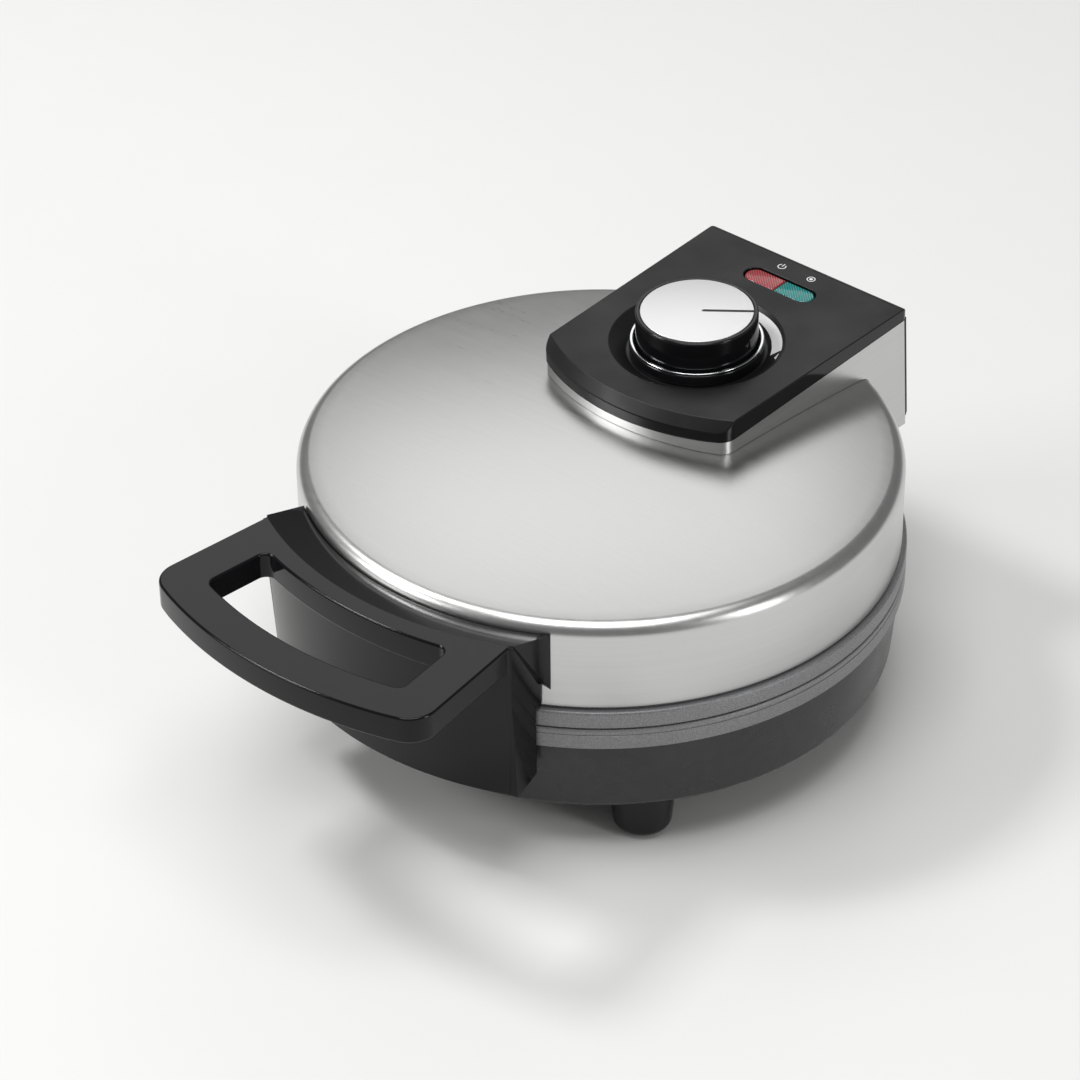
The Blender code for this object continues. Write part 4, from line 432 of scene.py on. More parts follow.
# Materials --------------------------------------------------------------------------------------
class Shader:
    """A Principled material and short words for the nodes that feed it."""

    def __init__(self, name, base, metallic=0.0):
        self.material = bpy.data.materials.new(name)
        self.material.use_nodes = True
        self.tree = self.material.node_tree
        self.surface = self.tree.nodes["Principled BSDF"]
        self.surface.inputs["Metallic"].default_value = metallic
        self.base = base
        self.coordinates = self.node("ShaderNodeTexCoord").outputs["Object"]

    def node(self, kind, **values):
        made = self.tree.nodes.new(kind)
        for name, value in values.items():
            setattr(made, name, value)
        return made

    def link(self, source, target):
        self.tree.links.new(source, target)

    def stretched(self, scale, source):
        mapping = self.node("ShaderNodeMapping")
        mapping.inputs["Scale"].default_value = scale
        self.link(source, mapping.inputs["Vector"])
        return mapping.outputs["Vector"]

    def noise(self, scale, detail=3.0, stretch=None, source=None):
        texture = self.node("ShaderNodeTexNoise")
        texture.inputs["Scale"].default_value = scale
        texture.inputs["Detail"].default_value = detail
        vector = source or self.coordinates
        if stretch:
            vector = self.stretched(stretch, vector)
        self.link(vector, texture.inputs["Vector"])
        return texture.outputs["Fac"]

    def around(self):
        """Coordinates (arc length, height) that run round the body's axis."""
        split = self.node("ShaderNodeSeparateXYZ")
        self.link(self.coordinates, split.inputs[0])
        back = self.math("SUBTRACT", split.outputs["Y"], AXIS_PLACE)
        turn = self.math("ARCTAN2", back, split.outputs["X"])
        run = self.math("MULTIPLY", turn, LID_HIGH[0])
        merged = self.node("ShaderNodeCombineXYZ")
        self.link(run, merged.inputs["X"])
        self.link(split.outputs["Z"], merged.inputs["Y"])
        return merged.outputs[0]

    def math(self, operation, first, second):
        made = self.node("ShaderNodeMath", operation=operation)
        for socket, value in zip(made.inputs, (first, second)):
            if isinstance(value, (int, float)):
                socket.default_value = value
            else:
                self.link(value, socket)
        return made.outputs[0]

    def spread(self, value, low, high, start=0.3, end=0.7):
        made = self.node("ShaderNodeMapRange")
        made.inputs["From Min"].default_value = start
        made.inputs["From Max"].default_value = end
        made.inputs["To Min"].default_value = low
        made.inputs["To Max"].default_value = high
        self.link(value, made.inputs["Value"])
        return made.outputs["Result"]

    def tint(self, value, dark, light):
        """Base colour from dark to light shares of the base, driven by a value."""
        mix = self.node("ShaderNodeMix", data_type="RGBA")
        self.link(value, mix.inputs["Factor"])
        mix.inputs["A"].default_value = (*[c * dark for c in self.base], 1.0)
        mix.inputs["B"].default_value = (*[min(c * light, 1.0) for c in self.base], 1.0)
        self.link(mix.outputs["Result"], self.surface.inputs["Base Color"])

    def rough(self, value, low, high):
        self.link(self.spread(value, low, high), self.surface.inputs["Roughness"])

    def bump(self, value, distance, strength):
        made = self.node("ShaderNodeBump")
        made.inputs["Strength"].default_value = strength
        made.inputs["Distance"].default_value = distance
        self.link(value, made.inputs["Height"])
        self.link(made.outputs["Normal"], self.surface.inputs["Normal"])

    def set(self, **values):
        for name, value in values.items():
            self.surface.inputs[name.replace("_", " ")].default_value = value


def brushed(name, round_skirt):
    """Stainless steel brushed in straight lines, or round the skirt."""
    made = Shader(name, settings().finish.steel, 1.0)
    source = made.around() if round_skirt else made.coordinates
    fine = made.noise(1.0, 2.0, (14.0, 2600.0, 2600.0), source=source)
    coarse = made.noise(1.0, 3.0, (5.0, 420.0, 420.0), source=source)
    patches = made.noise(9.0, 2.0)
    lines = made.math("ADD", made.math("MULTIPLY", fine, 0.55), made.math("MULTIPLY", coarse, 0.45))
    made.tint(made.spread(lines, 0.0, 1.0), 0.95, 1.03)
    streaks = made.math("MULTIPLY", lines, 0.8)
    smudged = made.math("ADD", streaks, made.math("MULTIPLY", patches, 0.2))
    made.rough(smudged, 0.27, 0.34)
    made.bump(lines, 0.00002, 0.35)
    return made.material


def casting(name, base, metallic, roughness):
    """A coated casting with a fine sparkle and a slightly uneven skin."""
    made = Shader(name, base, metallic)
    grain = made.noise(2600.0, 2.0)
    cloud = made.noise(60.0, 3.0)
    made.tint(made.spread(grain, 0.0, 1.0, 0.35, 0.72), 0.80, 1.55)
    made.rough(cloud, roughness - 0.06, roughness + 0.08)
    made.bump(grain, 0.00006, 0.35)
    return made.material


def moulding(name, base, roughness, grain, index=1.38):
    """A black moulding: a slightly cloudy colour, smudges in its gloss and a fine grain."""
    made = Shader(name, base)
    smudge = made.noise(38.0, 4.0)
    texture = made.noise(3200.0, 1.0)
    made.tint(made.spread(made.noise(210.0, 3.0), 0.0, 1.0), 0.94, 1.08)
    made.rough(smudge, roughness * 0.8, roughness * 1.3)
    made.bump(texture, 0.00003, grain)
    made.set(IOR=index)
    return made.material


def plated(name, base, roughness):
    """Plated or bare sheet metal with a spangle and a cloudy gloss."""
    made = Shader(name, base, 1.0)
    spangle = made.node("ShaderNodeTexVoronoi")
    spangle.inputs["Scale"].default_value = 420.0
    made.link(made.coordinates, spangle.inputs["Vector"])
    cloud = made.noise(160.0, 3.0)
    made.tint(made.spread(spangle.outputs["Distance"], 0.0, 1.0, 0.0, 0.8), 0.86, 1.06)
    made.rough(cloud, roughness - 0.07, roughness + 0.10)
    made.bump(cloud, 0.00005, 0.3)
    return made.material


def plain(name, base, roughness, scale, depth, metallic=0.0):
    """A matt solid: rubber, ceramic, print or a spun disc, with a grain of its own scale."""
    made = Shader(name, base, metallic)
    grain = made.noise(scale, 3.0)
    made.tint(made.spread(grain, 0.0, 1.0), 0.92, 1.06)
    made.rough(grain, roughness - 0.05, roughness + 0.05)
    made.bump(grain, depth, 0.4)
    return made.material


def lens_plastic(name, base):
    """Clear tinted plastic over diagonal ribs."""
    made = Shader(name, base)
    ribs = made.node("ShaderNodeTexWave", wave_type="BANDS", bands_direction="DIAGONAL")
    ribs.inputs["Scale"].default_value = 480.0
    ribs.inputs["Distortion"].default_value = 0.8
    made.link(made.coordinates, ribs.inputs["Vector"])
    made.tint(ribs.outputs["Fac"], 0.55, 1.7)
    made.rough(made.noise(400.0), 0.12, 0.24)
    made.bump(ribs.outputs["Fac"], 0.00025, 0.6)
    made.set(Coat_Weight=0.6, Coat_Roughness=0.08)
    return made.material


def bright(name, base, roughness):
    """Polished trim with faint clouds in its gloss."""
    made = Shader(name, base, 1.0)
    cloud = made.noise(90.0, 3.0)
    made.tint(made.spread(cloud, 0.0, 1.0), 0.96, 1.02)
    made.rough(cloud, roughness * 0.7, roughness * 1.5)
    made.bump(made.noise(1500.0), 0.00001, 0.2)
    return made.material


def glass(name):
    """Clear glass of a neon lamp."""
    made = Shader(name, (0.85, 0.82, 0.76))
    made.tint(made.noise(300.0), 0.95, 1.05)
    made.rough(made.noise(200.0), 0.04, 0.09)
    made.set(Transmission_Weight=0.9, IOR=1.5)
    return made.material


def material(name):
    """The named finish, made the first time that it is asked for."""
    known = bpy.data.materials.get(name)
    if known:
        return known
    colours = settings().finish
    makers = {
        "brushed_steel": lambda: brushed(name, False),
        "brushed_skirt": lambda: brushed(name, True),
        "cast_band": lambda: casting(name, colours.casting, 0.35, 0.42),
        "baking_coating": lambda: casting(name, colours.coating, 0.10, 0.46),
        "satin_black": lambda: moulding(name, colours.satin_black, 0.34, 0.35),
        "handle_black": lambda: moulding(name, colours.gloss_black, 0.09, 0.04, 1.31),
        "shell_black": lambda: moulding(name, colours.shell_black, 0.26, 0.20),
        "gloss_black": lambda: moulding(name, colours.gloss_black, 0.09, 0.05),
        "black_rubber": lambda: plain(name, colours.rubber, 0.75, 1400.0, 0.00008),
        "zinc_steel": lambda: plated(name, colours.zinc, 0.36),
        "heater_sheath": lambda: plated(name, colours.sheath, 0.55),
        "aluminium_sheet": lambda: plated(name, colours.sheet_metal, 0.30),
        "white_ceramic": lambda: plain(name, colours.ceramic, 0.50, 1200.0, 0.00006),
        "knob_disc": lambda: plain(name, colours.disc, 0.42, 1800.0, 0.00002, 0.15),
        "pointer_grey": lambda: plain(name, (0.02, 0.02, 0.02), 0.50, 1800.0, 0.00002),
        "printed_mark": lambda: plain(name, colours.ink, 0.55, 2500.0, 0.00001),
        "polished_trim": lambda: bright(name, (0.75, 0.76, 0.77), 0.10),
        "red_lens": lambda: lens_plastic(name, colours.red_lens),
        "green_lens": lambda: lens_plastic(name, colours.green_lens),
        "lamp_glass": lambda: glass(name),
    }
    return makers[name]()


# Round body -------------------------------------------------------------------------------------
def lid_line(outwards=0.0, dome_points=24, fillet_points=14):
    """The lid's outer line, from its crown to the skirt's lower edge, moved outwards by a distance."""
    body = settings().body
    fillet = body.rim_fillet
    lean = 2 * body.dome_rise / (body.lid_radius - fillet)
    joint = body.lid_radius - fillet + fillet * math.sin(lean)
    rim = body.crown - body.dome_rise
    points = []
    for i in range(dome_points):
        radius = joint * i / dome_points
        points.append((radius, rim + body.dome_rise * (1 - (radius / joint) ** 2) + outwards))
    centre = (body.lid_radius - fillet, rim - fillet * math.cos(lean))
    points += arc(centre, fillet + outwards, math.pi / 2 - lean, 0.0, fillet_points)
    points.append((body.lid_radius + outwards, body.skirt_foot))
    return points


class LidSkin(bpy.types.Operator):
    """Spun steel lid: a shallow dome, a tight rim fillet and a plain skirt with a rounded foot"""

    bl_idname = "waffle.lid_skin"
    bl_label = "Lid skin"

    def execute(self, context):
        body = settings().body
        outer = lid_line()[:-1]
        inner = list(reversed(lid_line(-body.sheet)[:-1]))
        foot = body.skirt_foot + GAP
        half = body.sheet / 2
        edge = arc((body.lid_radius - half, foot + half), half, 0.0, -math.pi, CORNER_STEPS)
        lid = turned("lid_skin", outer + edge + inner, BODY_STEPS, closed=False)
        settle(lid, "lid", body_frame(), "brushed_steel", ["lid_cover"])
        level = body.crown - body.dome_rise - body.rim_fillet * 0.7
        coat_faces(lid, "brushed_skirt", lambda face: face.calc_center_median().z < level)
        return {"FINISHED"}


class PlateRings(bpy.types.Operator):
    """The two cast rings whose outer bands meet at the parting line"""

    bl_idname = "waffle.plate_rings"
    bl_label = "Plate rings"

    def execute(self, context):
        body = settings().body
        band, cavity = body.band_radius, body.cavity_radius
        web, flange, skirt = 0.0040, 0.0030, 0.0024
        wall = cavity + 0.0034
        lip = cavity - 0.0086
        depth = 0.0163
        top = LOWER_HIGH[2]
        bottom = top - 0.0086
        deck = top - depth
        seat = body.shell_radius - 0.0030
        scored = band - 0.0003
        lower = [
            (band, top, 0.0009),
            (band, top - 0.0020, 0.0),
            (scored, top - 0.0022, 0.0),
            (scored, top - 0.0024, 0.0),
            (band, top - 0.0026, 0.0),
            (band, bottom, 0.0008),
            (seat, bottom, 0.0),
            (seat, bottom - flange, 0.0),
            (seat - skirt, bottom - flange, 0.0),
            (seat - skirt, top - web, 0.0),
            (wall, top - web, 0.0),
            (wall, deck - flange, 0.0),
            (lip, deck - flange, 0.0),
            (lip, deck, 0.0),
            (cavity, deck, 0.0),
            (cavity, top, 0.0010),
        ]
        foot = UPPER_LOW[2]
        shoulder = foot + 0.0069
        roof = foot + depth
        spigot = body.lid_radius - body.sheet - GAP
        upper = [
            (band, foot, 0.0008),
            (cavity, foot, 0.0010),
            (cavity, roof, 0.0),
            (lip, roof, 0.0),
            (lip, roof + flange, 0.0),
            (wall, roof + flange, 0.0),
            (wall, foot + web, 0.0),
            (spigot - skirt, foot + web, 0.0),
            (spigot - skirt, UPPER_HIGH[2], 0.0),
            (spigot, UPPER_HIGH[2], 0.0004),
            (spigot, shoulder, 0.0),
            (band, shoulder, 0.0012),
        ]
        for name, carrier, line in (("lower", "base", lower), ("upper", "lid", upper)):
            ring = turned(f"{name}_ring", rounded(line, 5))
            settle(ring, carrier, body_frame(), "cast_band", [f"{name}_plate_ring"])
        return {"FINISHED"}


def refined(name, node, width, segments=2):
    """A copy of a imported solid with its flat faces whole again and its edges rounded."""
    piece = copy_of(name, frame["nodes"][node])
    whole_faces(piece, 0.6)
    round_edges(piece, width, segments)
    return piece


class BakingGrids(bpy.types.Operator):
    """The two grid inserts with their rows of square posts"""

    bl_idname = "waffle.baking_grids"
    bl_label = "Baking grids"

    def execute(self, context):
        for node, body in (("lower_grid_plate", "base"), ("upper_grid_plate", "lid")):
            grid = refined(node.replace("_plate", ""), node, 0.0009)
            settle(grid, body, Matrix.Identity(4), "baking_coating", [node], weighted=True)
        return {"FINISHED"}


class BaseShell(bpy.types.Operator):
    """The drafted black tub under the lower band"""

    bl_idname = "waffle.base_shell"
    bl_label = "Base shell"

    def execute(self, context):
        body = settings().body
        low = body.foot_height
        high = SHELL_HIGH[2]
        wall = 0.0025
        floor = low + wall
        raised, raised_radius, slope = 0.0008, 0.0560, 0.0015
        profile = [
            (0.0, low + raised, 0.0),
            (raised_radius, low + raised, 0.0),
            (raised_radius + slope, low, 0.0),
            (body.shell_foot_radius, low, body.shell_fillet),
            (body.shell_radius, high, 0.0007),
            (body.shell_radius - wall, high, 0.0003),
            (body.shell_foot_radius - wall, floor, 0.0015),
            (0.0, floor, 0.0),
        ]
        shell = turned("tub", rounded(profile, 8), BODY_STEPS, closed=False)
        settle(shell, "base", body_frame(), "shell_black", ["base_shell"])
        return {"FINISHED"}


class Feet(bpy.types.Operator):
    """Four tapered feet with rubber pads"""

    bl_idname = "waffle.feet"
    bl_label = "Feet"

    def execute(self, context):
        body = settings().body
        top, low = body.foot_height - GAP, 0.0010
        bore, wide, narrow = 0.0052, 0.0121, 0.0107
        recess, roof = 0.0063, 0.0030
        pad_radius, pad_top = recess - GAP, roof - GAP
        profile = [
            (bore, top, 0.0),
            (wide, top, 0.0004),
            (narrow, low, 0.0036),
            (recess, low, 0.0),
            (recess, roof, 0.0),
            (bore, roof, 0.0),
        ]
        pad_line = [
            (0.0, pad_top, 0.0),
            (pad_radius, pad_top, 0.0),
            (pad_radius, 0.0, 0.0005),
            (0.0, 0.0, 0.0),
        ]
        foot = turned("foot_pattern", rounded(profile, 8), SMALL_STEPS)
        pad = turned("pad_pattern", rounded(pad_line, 4), SMALL_STEPS, closed=False)
        object_mode()
        turn = body.foot_angle
        kinds = ((foot, "foot", "gloss_black"), (pad, "foot_pad", "black_rubber"))
        for side, way in zip(FEET, (turn, math.pi - turn, math.pi + turn, -turn)):
            spot = (body.foot_circle * math.sin(way), -body.foot_circle * math.cos(way), 0.0)
            place = body_frame() @ Matrix.Translation(spot)
            for pattern, word, finish in kinds:
                copy = copy_of(f"{word}_of_{side}", pattern)
                settle(copy, "base", place, finish, [f"{word}_{side}"])
        for pattern in (foot, pad):
            bpy.data.objects.remove(pattern, do_unlink=True)
        return {"FINISHED"}


# Handle -----------------------------------------------------------------------------------------
def grip_outline():
    """The grip plate from above: bowed front, flaring sides and a root that lies inside the apron."""
    handle = settings().handle
    half = handle.front_half
    front = bow(half, handle.reach, handle.reach - handle.corner_place, 40)[4:-4]
    crease = handle.crease_radius
    sagitta = crease - math.sqrt(crease**2 - handle.root_half**2)
    root = bow(handle.root_half, (crease + handle.apron_radius) / 2, sagitta, 24)
    corners = [(-half, -handle.corner_place, handle.corner_radius)]
    corners += [(x, y, 0.0) for x, y in front]
    corners.append((half, -handle.corner_place, handle.corner_radius))
    corners += [(x, y, 0.0) for x, y in reversed(root)]
    return rounded(corners, 10)


def window_outline():
    """The finger window: two bowed sides joined by short ones, with rounded corners."""
    front_half, front_place, front_bow = 0.0464, 0.1562, 0.0068
    rear_half, rear_place, rear_bow = 0.0436, 0.1296, 0.0061
    corner = 0.0035
    rear = bow(rear_half, rear_place + rear_bow, rear_bow, 24)[2:-2]
    front = bow(front_half, front_place + front_bow, front_bow, 24)[2:-2]
    corners = [(-front_half, -front_place, corner)]
    corners += [(x, y, 0.0) for x, y in front]
    corners.append((front_half, -front_place, corner))
    corners.append((rear_half, -rear_place, corner))
    corners += [(x, y, 0.0) for x, y in reversed(rear)]
    corners.append((-rear_half, -rear_place, corner))
    return rounded(corners, 8)


def side_cutter(sign):
    """A block whose inner face flares like the grip plate's side and whose top slopes to the rear."""
    handle = settings().handle
    run = handle.corner_place - handle.root_place
    flare = math.atan((handle.front_half - handle.root_half) / run)
    size = handle.apron_radius
    low, high = sorted((0.0, sign * size))
    cutter = block("side_cutter", (low, -size, -2 * size), (high, size, 0.0))
    slope = math.radians(57.8)
    place = Matrix.Translation((sign * handle.root_half, -handle.root_place, handle.top))
    turn = Matrix.Rotation(sign * flare, 4, "Z") @ Matrix.Rotation(-slope, 4, "X")
    return moved(cutter, place @ turn)


def clear_of_fairing(edge, side, place):
    """Whether an edge keeps off the thin ledges where the grip plate's side meets collar and apron."""
    ends = [vertex.co for vertex in edge.verts]
    inside = all(abs(end.x) < side for end in ends)
    ahead = all(end.y < -place for end in ends)
    return inside or ahead


def on_crease(spot):
    """Whether a point lies on the crease between the grip plate's top and the collar's fall."""
    handle = settings().handle
    near = 0.00005
    across = abs(Vector(spot.xy).length - handle.crease_radius)
    return across < near and abs(spot.z - handle.top) < near


class Handle(bpy.types.Operator):
    """One moulding: grip plate with its window, collar on the skirt, and apron over both bands"""

    bl_idname = "waffle.handle"
    bl_label = "Handle"

    def execute(self, context):
        handle = settings().handle
        body = settings().body
        apron_half, inner_chamfer, crease_fall = 0.0594, 0.0034, 0.0059
        collar = body.lid_radius + GAP
        inner = body.band_radius + 0.0013
        under = handle.top - handle.thickness
        foot = handle.apron_foot
        profile = [
            (handle.crease_radius, handle.top),
            (handle.apron_radius, handle.top),
            (handle.apron_radius, under),
            (handle.apron_foot_radius, foot),
            (inner, foot + inner_chamfer),
            (inner, body.skirt_foot),
            (collar, body.skirt_foot),
            (collar, handle.top - crease_fall),
        ]
        shape = turned("grip_and_apron", profile, HANDLE_STEPS)
        rear = -math.sqrt(collar**2 - apron_half**2) / 2
        low, high = (-apron_half, -0.3, 0.0), (apron_half, rear, 0.3)
        carve(shape, block("front_part", low, high), "INTERSECT")
        for sign in (-1, 1):
            carve(shape, side_cutter(sign))
        carve(shape, plate("grip", grip_outline(), under, handle.top), "UNION")
        carve(shape, plate("window", window_outline(), 0.0, 0.2))
        whole_faces(shape)
        side = handle.root_half - handle.edge
        place = handle.root_place
        round_edges(shape, handle.edge, 3, 26, lambda edge: clear_of_fairing(edge, side, place))
        pick(shape, "EDGE", lambda edge: all(on_crease(vertex.co) for vertex in edge.verts))
        bpy.ops.mesh.mark_sharp()
        settle(shape, "lid", body_frame(), "handle_black", ["handle"], weighted=True)
        return {"FINISHED"}


# Control housing --------------------------------------------------------------------------------
def panel_half(place):
    """The panel's half width at a place behind the body's axis."""
    control = settings().control
    grown = (place - control.front_corner) / (control.rear - control.front_corner)
    return control.front_half + (control.rear_half - control.front_half) * grown


def panel_line(inset, rear, rear_corner):
    """The panel's outline moved inwards, with its bowed front and rounded corners."""
    control = settings().control
    half = control.front_half - inset
    radius = BOW_RADIUS - inset
    corner = 0.0075 - inset
    reach = math.asin(half / radius)
    front = arc(BOW_CENTRE, radius, -math.pi / 2 - reach, -math.pi / 2 + reach, 40)
    corners = [(*front[0], corner)]
    corners += [(x, y, 0.0) for x, y in front[3:-3]]
    corners.append((*front[-1], corner))
    rear_half = panel_half(rear) - inset
    corners += [(rear_half, rear, rear_corner), (-rear_half, rear, rear_corner)]
    return rounded(corners, 8)


class HousingWall(bpy.types.Operator):
    """The steel wrap between lid and panel, cut to the lid's dome and skirt"""

    bl_idname = "waffle.housing_wall"
    bl_label = "Housing wall"

    def execute(self, context):
        control = settings().control
        body = settings().body
        lean = control.back_lean
        top = control.height - control.thickness
        foot_rear = control.housing_rear + (top - control.housing_foot) * math.tan(lean)
        outer_inset, inner_inset, overrun = 0.0006, 0.0016, 0.02
        outer = panel_line(outer_inset, foot_rear, 0.0)
        inner = panel_line(inner_inset, foot_rear + overrun, 0.0)
        wall = plate("steel_wrap", outer, control.housing_foot, 0.13)
        carve(wall, plate("inside", inner, 0.0, 0.2))
        cap = [*lid_line(GAP / 2), (body.lid_radius + GAP / 2, 0.0), (0.0, 0.0)]
        carve(wall, turned("lid_space", cap, BODY_STEPS, closed=False))
        back = Matrix.Translation((0.0, control.housing_rear, top)) @ Matrix.Rotation(lean, 4, "X")
        carve(wall, moved(block("behind", (-0.2, 0.0, -0.2), (0.2, 0.2, 0.2)), back))
        tilt = Matrix.Translation((0.0, 0.0, control.height))
        tilt = tilt @ Matrix.Rotation(control.tilt, 4, "X")
        above = block("above", (-0.3, -0.3, -control.thickness - GAP / 2), (0.3, 0.3, 0.3))
        carve(wall, moved(above, tilt))
        whole_faces(wall, 0.2)
        settle(wall, "lid", body_frame(), "brushed_skirt", ["control_housing"])
        return {"FINISHED"}


class HousingBack(bpy.types.Operator):
    """The black cover that closes the housing's back"""

    bl_idname = "waffle.housing_back"
    bl_label = "Housing back"

    def execute(self, context):
        node = "housing_back_cover"
        cover = refined("back_cover", node, 0.0005, 3)
        settle(cover, "lid", Matrix.Identity(4), "satin_black", [node], weighted=True)
        return {"FINISHED"}


class ControlPanel(bpy.types.Operator):
    """The black panel with its wide front bevel, the dial's dish and the slot for the lenses"""

    bl_idname = "waffle.control_panel"
    bl_label = "Control panel"

    def execute(self, context):
        control = settings().control
        thick = control.thickness
        at_dial = Matrix.Translation((0.0, control.knob_place, 0.0))
        outline = panel_line(0.0, control.rear, 0.0035)
        panel = plate("top_panel", outline, -thick, 0.0)
        lip_wall, lip_depth, lip_slope = 0.0004, 0.0050, 0.0300
        lip = plate("lip", outline, -thick - lip_depth, -thick / 2)
        inside = panel_line(lip_wall, control.rear - lip_wall, 0.0031)
        carve(lip, plate("lip_inside", inside, -0.02, 0.0))
        slope = Matrix.Translation((0.0, control.rear, -thick - GAP))
        slope = slope @ Matrix.Rotation(lip_slope, 4, "X")
        carve(lip, moved(block("under_lip", (-0.2, -0.3, -0.1), (0.2, 0.3, 0.0)), slope))
        carve(panel, lip, "UNION")
        bowl_radius, bowl_foot, bowl_top = 0.0330, -0.0066, -0.002
        line = [(0.0, bowl_foot), (bowl_radius, bowl_foot)]
        line += [(bowl_radius, bowl_top), (0.0, bowl_top)]
        carve(panel, moved(turned("bowl", line, 96, closed=False), at_dial), "UNION")
        rise = control.dish_depth
        wide = 2 * control.dish_radius - control.dish_floor
        line = [(0.0, rise), (wide, rise), (control.dish_floor, -rise), (0.0, -rise)]
        carve(panel, moved(turned("dish", line, RING_STEPS, closed=False), at_dial))
        slot = pill(control.lens_length, control.lens_width, (0.0, control.lens_place))
        carve(panel, plate("slot", slot, -0.01, 0.01))
        run, drop, sweep = 0.0040, 0.0050, 0.0840
        line = [
            (sweep + 3 * run, 2 * drop),
            (sweep + 3 * run, -drop),
            (sweep + run, -drop),
            (sweep - 2 * run, 2 * drop),
        ]
        place = Matrix.Translation((*BOW_CENTRE, 0.0))
        carve(panel, moved(turned("front_bevel", line, HANDLE_STEPS), place))
        curve = 0.0042
        centre = (control.rear - curve, -curve)
        over, behind = 0.004, 0.2
        side = [(centre[0], over), *arc(centre, curve, math.pi / 2, 0.0, 10)]
        side += [(behind, centre[1]), (behind, over)]
        rear = plate("rear_curve", side, -0.1, 0.1)
        turn = Matrix.Rotation(math.pi / 2, 4, "Z") @ Matrix.Rotation(math.pi / 2, 4, "X")
        carve(panel, moved(rear, turn))
        whole_faces(panel, 0.3)
        round_edges(panel, 0.0004, 3, 20)
        settle(panel, "lid", panel_frame(), "satin_black", ["control_panel"], weighted=True)
        coat_faces(panel, "gloss_black", lambda face: abs(face.normal.z) < 0.45)
        return {"FINISHED"}


class DialCollar(bpy.types.Operator):
    """The raised ring around the knob's foot and the bright trim that lies on it"""

    bl_idname = "waffle.dial_collar"
    bl_label = "Dial collar"

    def execute(self, context):
        control = settings().control
        height, wall, clearance = 0.0044, 0.0018, 0.0024
        trim_height, trim_width, trim_edge, trim_foot = 0.0006, 0.0012, 0.0003, 0.0001
        low = GAP - control.dish_depth
        high = low + height
        outer = control.knob_radius + clearance
        inner = outer - wall
        line = [(outer, high, 0.0007), (outer, low, 0.0), (inner, low, 0.0), (inner, high, 0.0002)]
        collar = turned("collar", rounded(line))
        settle(collar, "lid", dial_frame(), "gloss_black", ["dial_collar"])
        low = high + GAP
        high = low + trim_height
        inner += GAP
        outer = inner + trim_width
        line = [
            (outer, high, trim_edge),
            (outer, low, trim_foot),
            (inner, low, trim_foot),
            (inner, high, trim_edge),
        ]
        trim = turned("trim_ring", rounded(line))
        settle(trim, "lid", dial_frame(), "polished_trim", ["collar_trim"])
        return {"FINISHED"}


class Knob(bpy.types.Operator):
    """The black cup-shaped knob and the satin disc with its engraved pointer"""

    bl_idname = "waffle.knob"
    bl_label = "Knob"

    def execute(self, context):
        control = settings().control
        radius = control.knob_radius
        top = control.knob_height
        wall, seat_depth, lift = 0.0020, 0.0012, 0.0006
        seat = top - seat_depth
        disc_radius = radius - 0.0018
        rim = top - 0.0001
        foot = lift - control.dish_depth
        line = [
            (0.0, seat, 0.0),
            (disc_radius + GAP, seat, 0.0),
            (disc_radius + GAP, rim, 0.0002),
            (radius, rim, 0.0006),
            (radius, foot, 0.0003),
            (radius - wall, foot, 0.0),
            (radius - wall, seat - wall, 0.0),
            (0.0, seat - wall, 0.0),
        ]
        cup = turned("dial_cup", rounded(line), RING_STEPS, closed=False)
        settle(cup, "knob", knob_frame(), "gloss_black", ["knob"])
        bed = seat + GAP
        line = [(0.0, top, 0.0), (disc_radius, top, 0.0002)]
        line += [(disc_radius, bed, 0.0), (0.0, bed, 0.0)]
        disc = turned("dial_disc", rounded(line), RING_STEPS, closed=False)
        half, depth, start = 0.00075, 0.0005, 0.0026
        groove = arc((start, 0.0), half, math.pi / 2, 3 * math.pi / 2, 12)
        groove += [(2 * radius, -half), (2 * radius, half)]
        carve(disc, plate("pointer", groove, top - depth, top + 0.01))
        whole_faces(disc, 0.3)
        settle(disc, "knob", knob_frame(), "knob_disc", ["knob_disc"])
        turn = knob_frame()
        normal = turn.to_3x3() @ Vector((0.0, 0.0, 1.0))
        level = (turn @ Vector((0.0, 0.0, top - depth / 2))).dot(normal)

        def in_groove(face):
            return face.normal.dot(normal) > 0.99 and face.calc_center_median().dot(normal) < level

        coat_faces(disc, "pointer_grey", in_groove)
        return {"FINISHED"}


class Lenses(bpy.types.Operator):
    """The two tinted halves of the lamp window"""

    bl_idname = "waffle.lenses"
    bl_label = "Lamp lenses"

    def execute(self, context):
        control = settings().control
        play = 0.0005
        size = (control.lens_length - 2 * play, control.lens_width - 2 * play)
        outline = pill(*size, (0.0, control.lens_place))
        reach = size[1] / 2
        top_zone = -2 * play

        def at_top(edge):
            return all(vertex.co.z > top_zone for vertex in edge.verts)

        for node, sign, look in (("power_lens", -1, "red_lens"), ("ready_lens", 1, "green_lens")):
            split = sign * GAP / 2
            half = [(x, y) for x, y in outline if x * sign > GAP]
            half.append((split, control.lens_place + sign * reach))
            half.append((split, control.lens_place - sign * reach))
            lens = plate(f"{node}_cap", half, -control.thickness, -play)
            round_edges(lens, 0.0006, 3, 40, at_top)
            settle(lens, "lid", panel_frame(), look, [node])
        return {"FINISHED"}


def joined(piece, other):
    activate(piece)
    other.select_set(True)
    bpy.ops.object.join()
    return piece


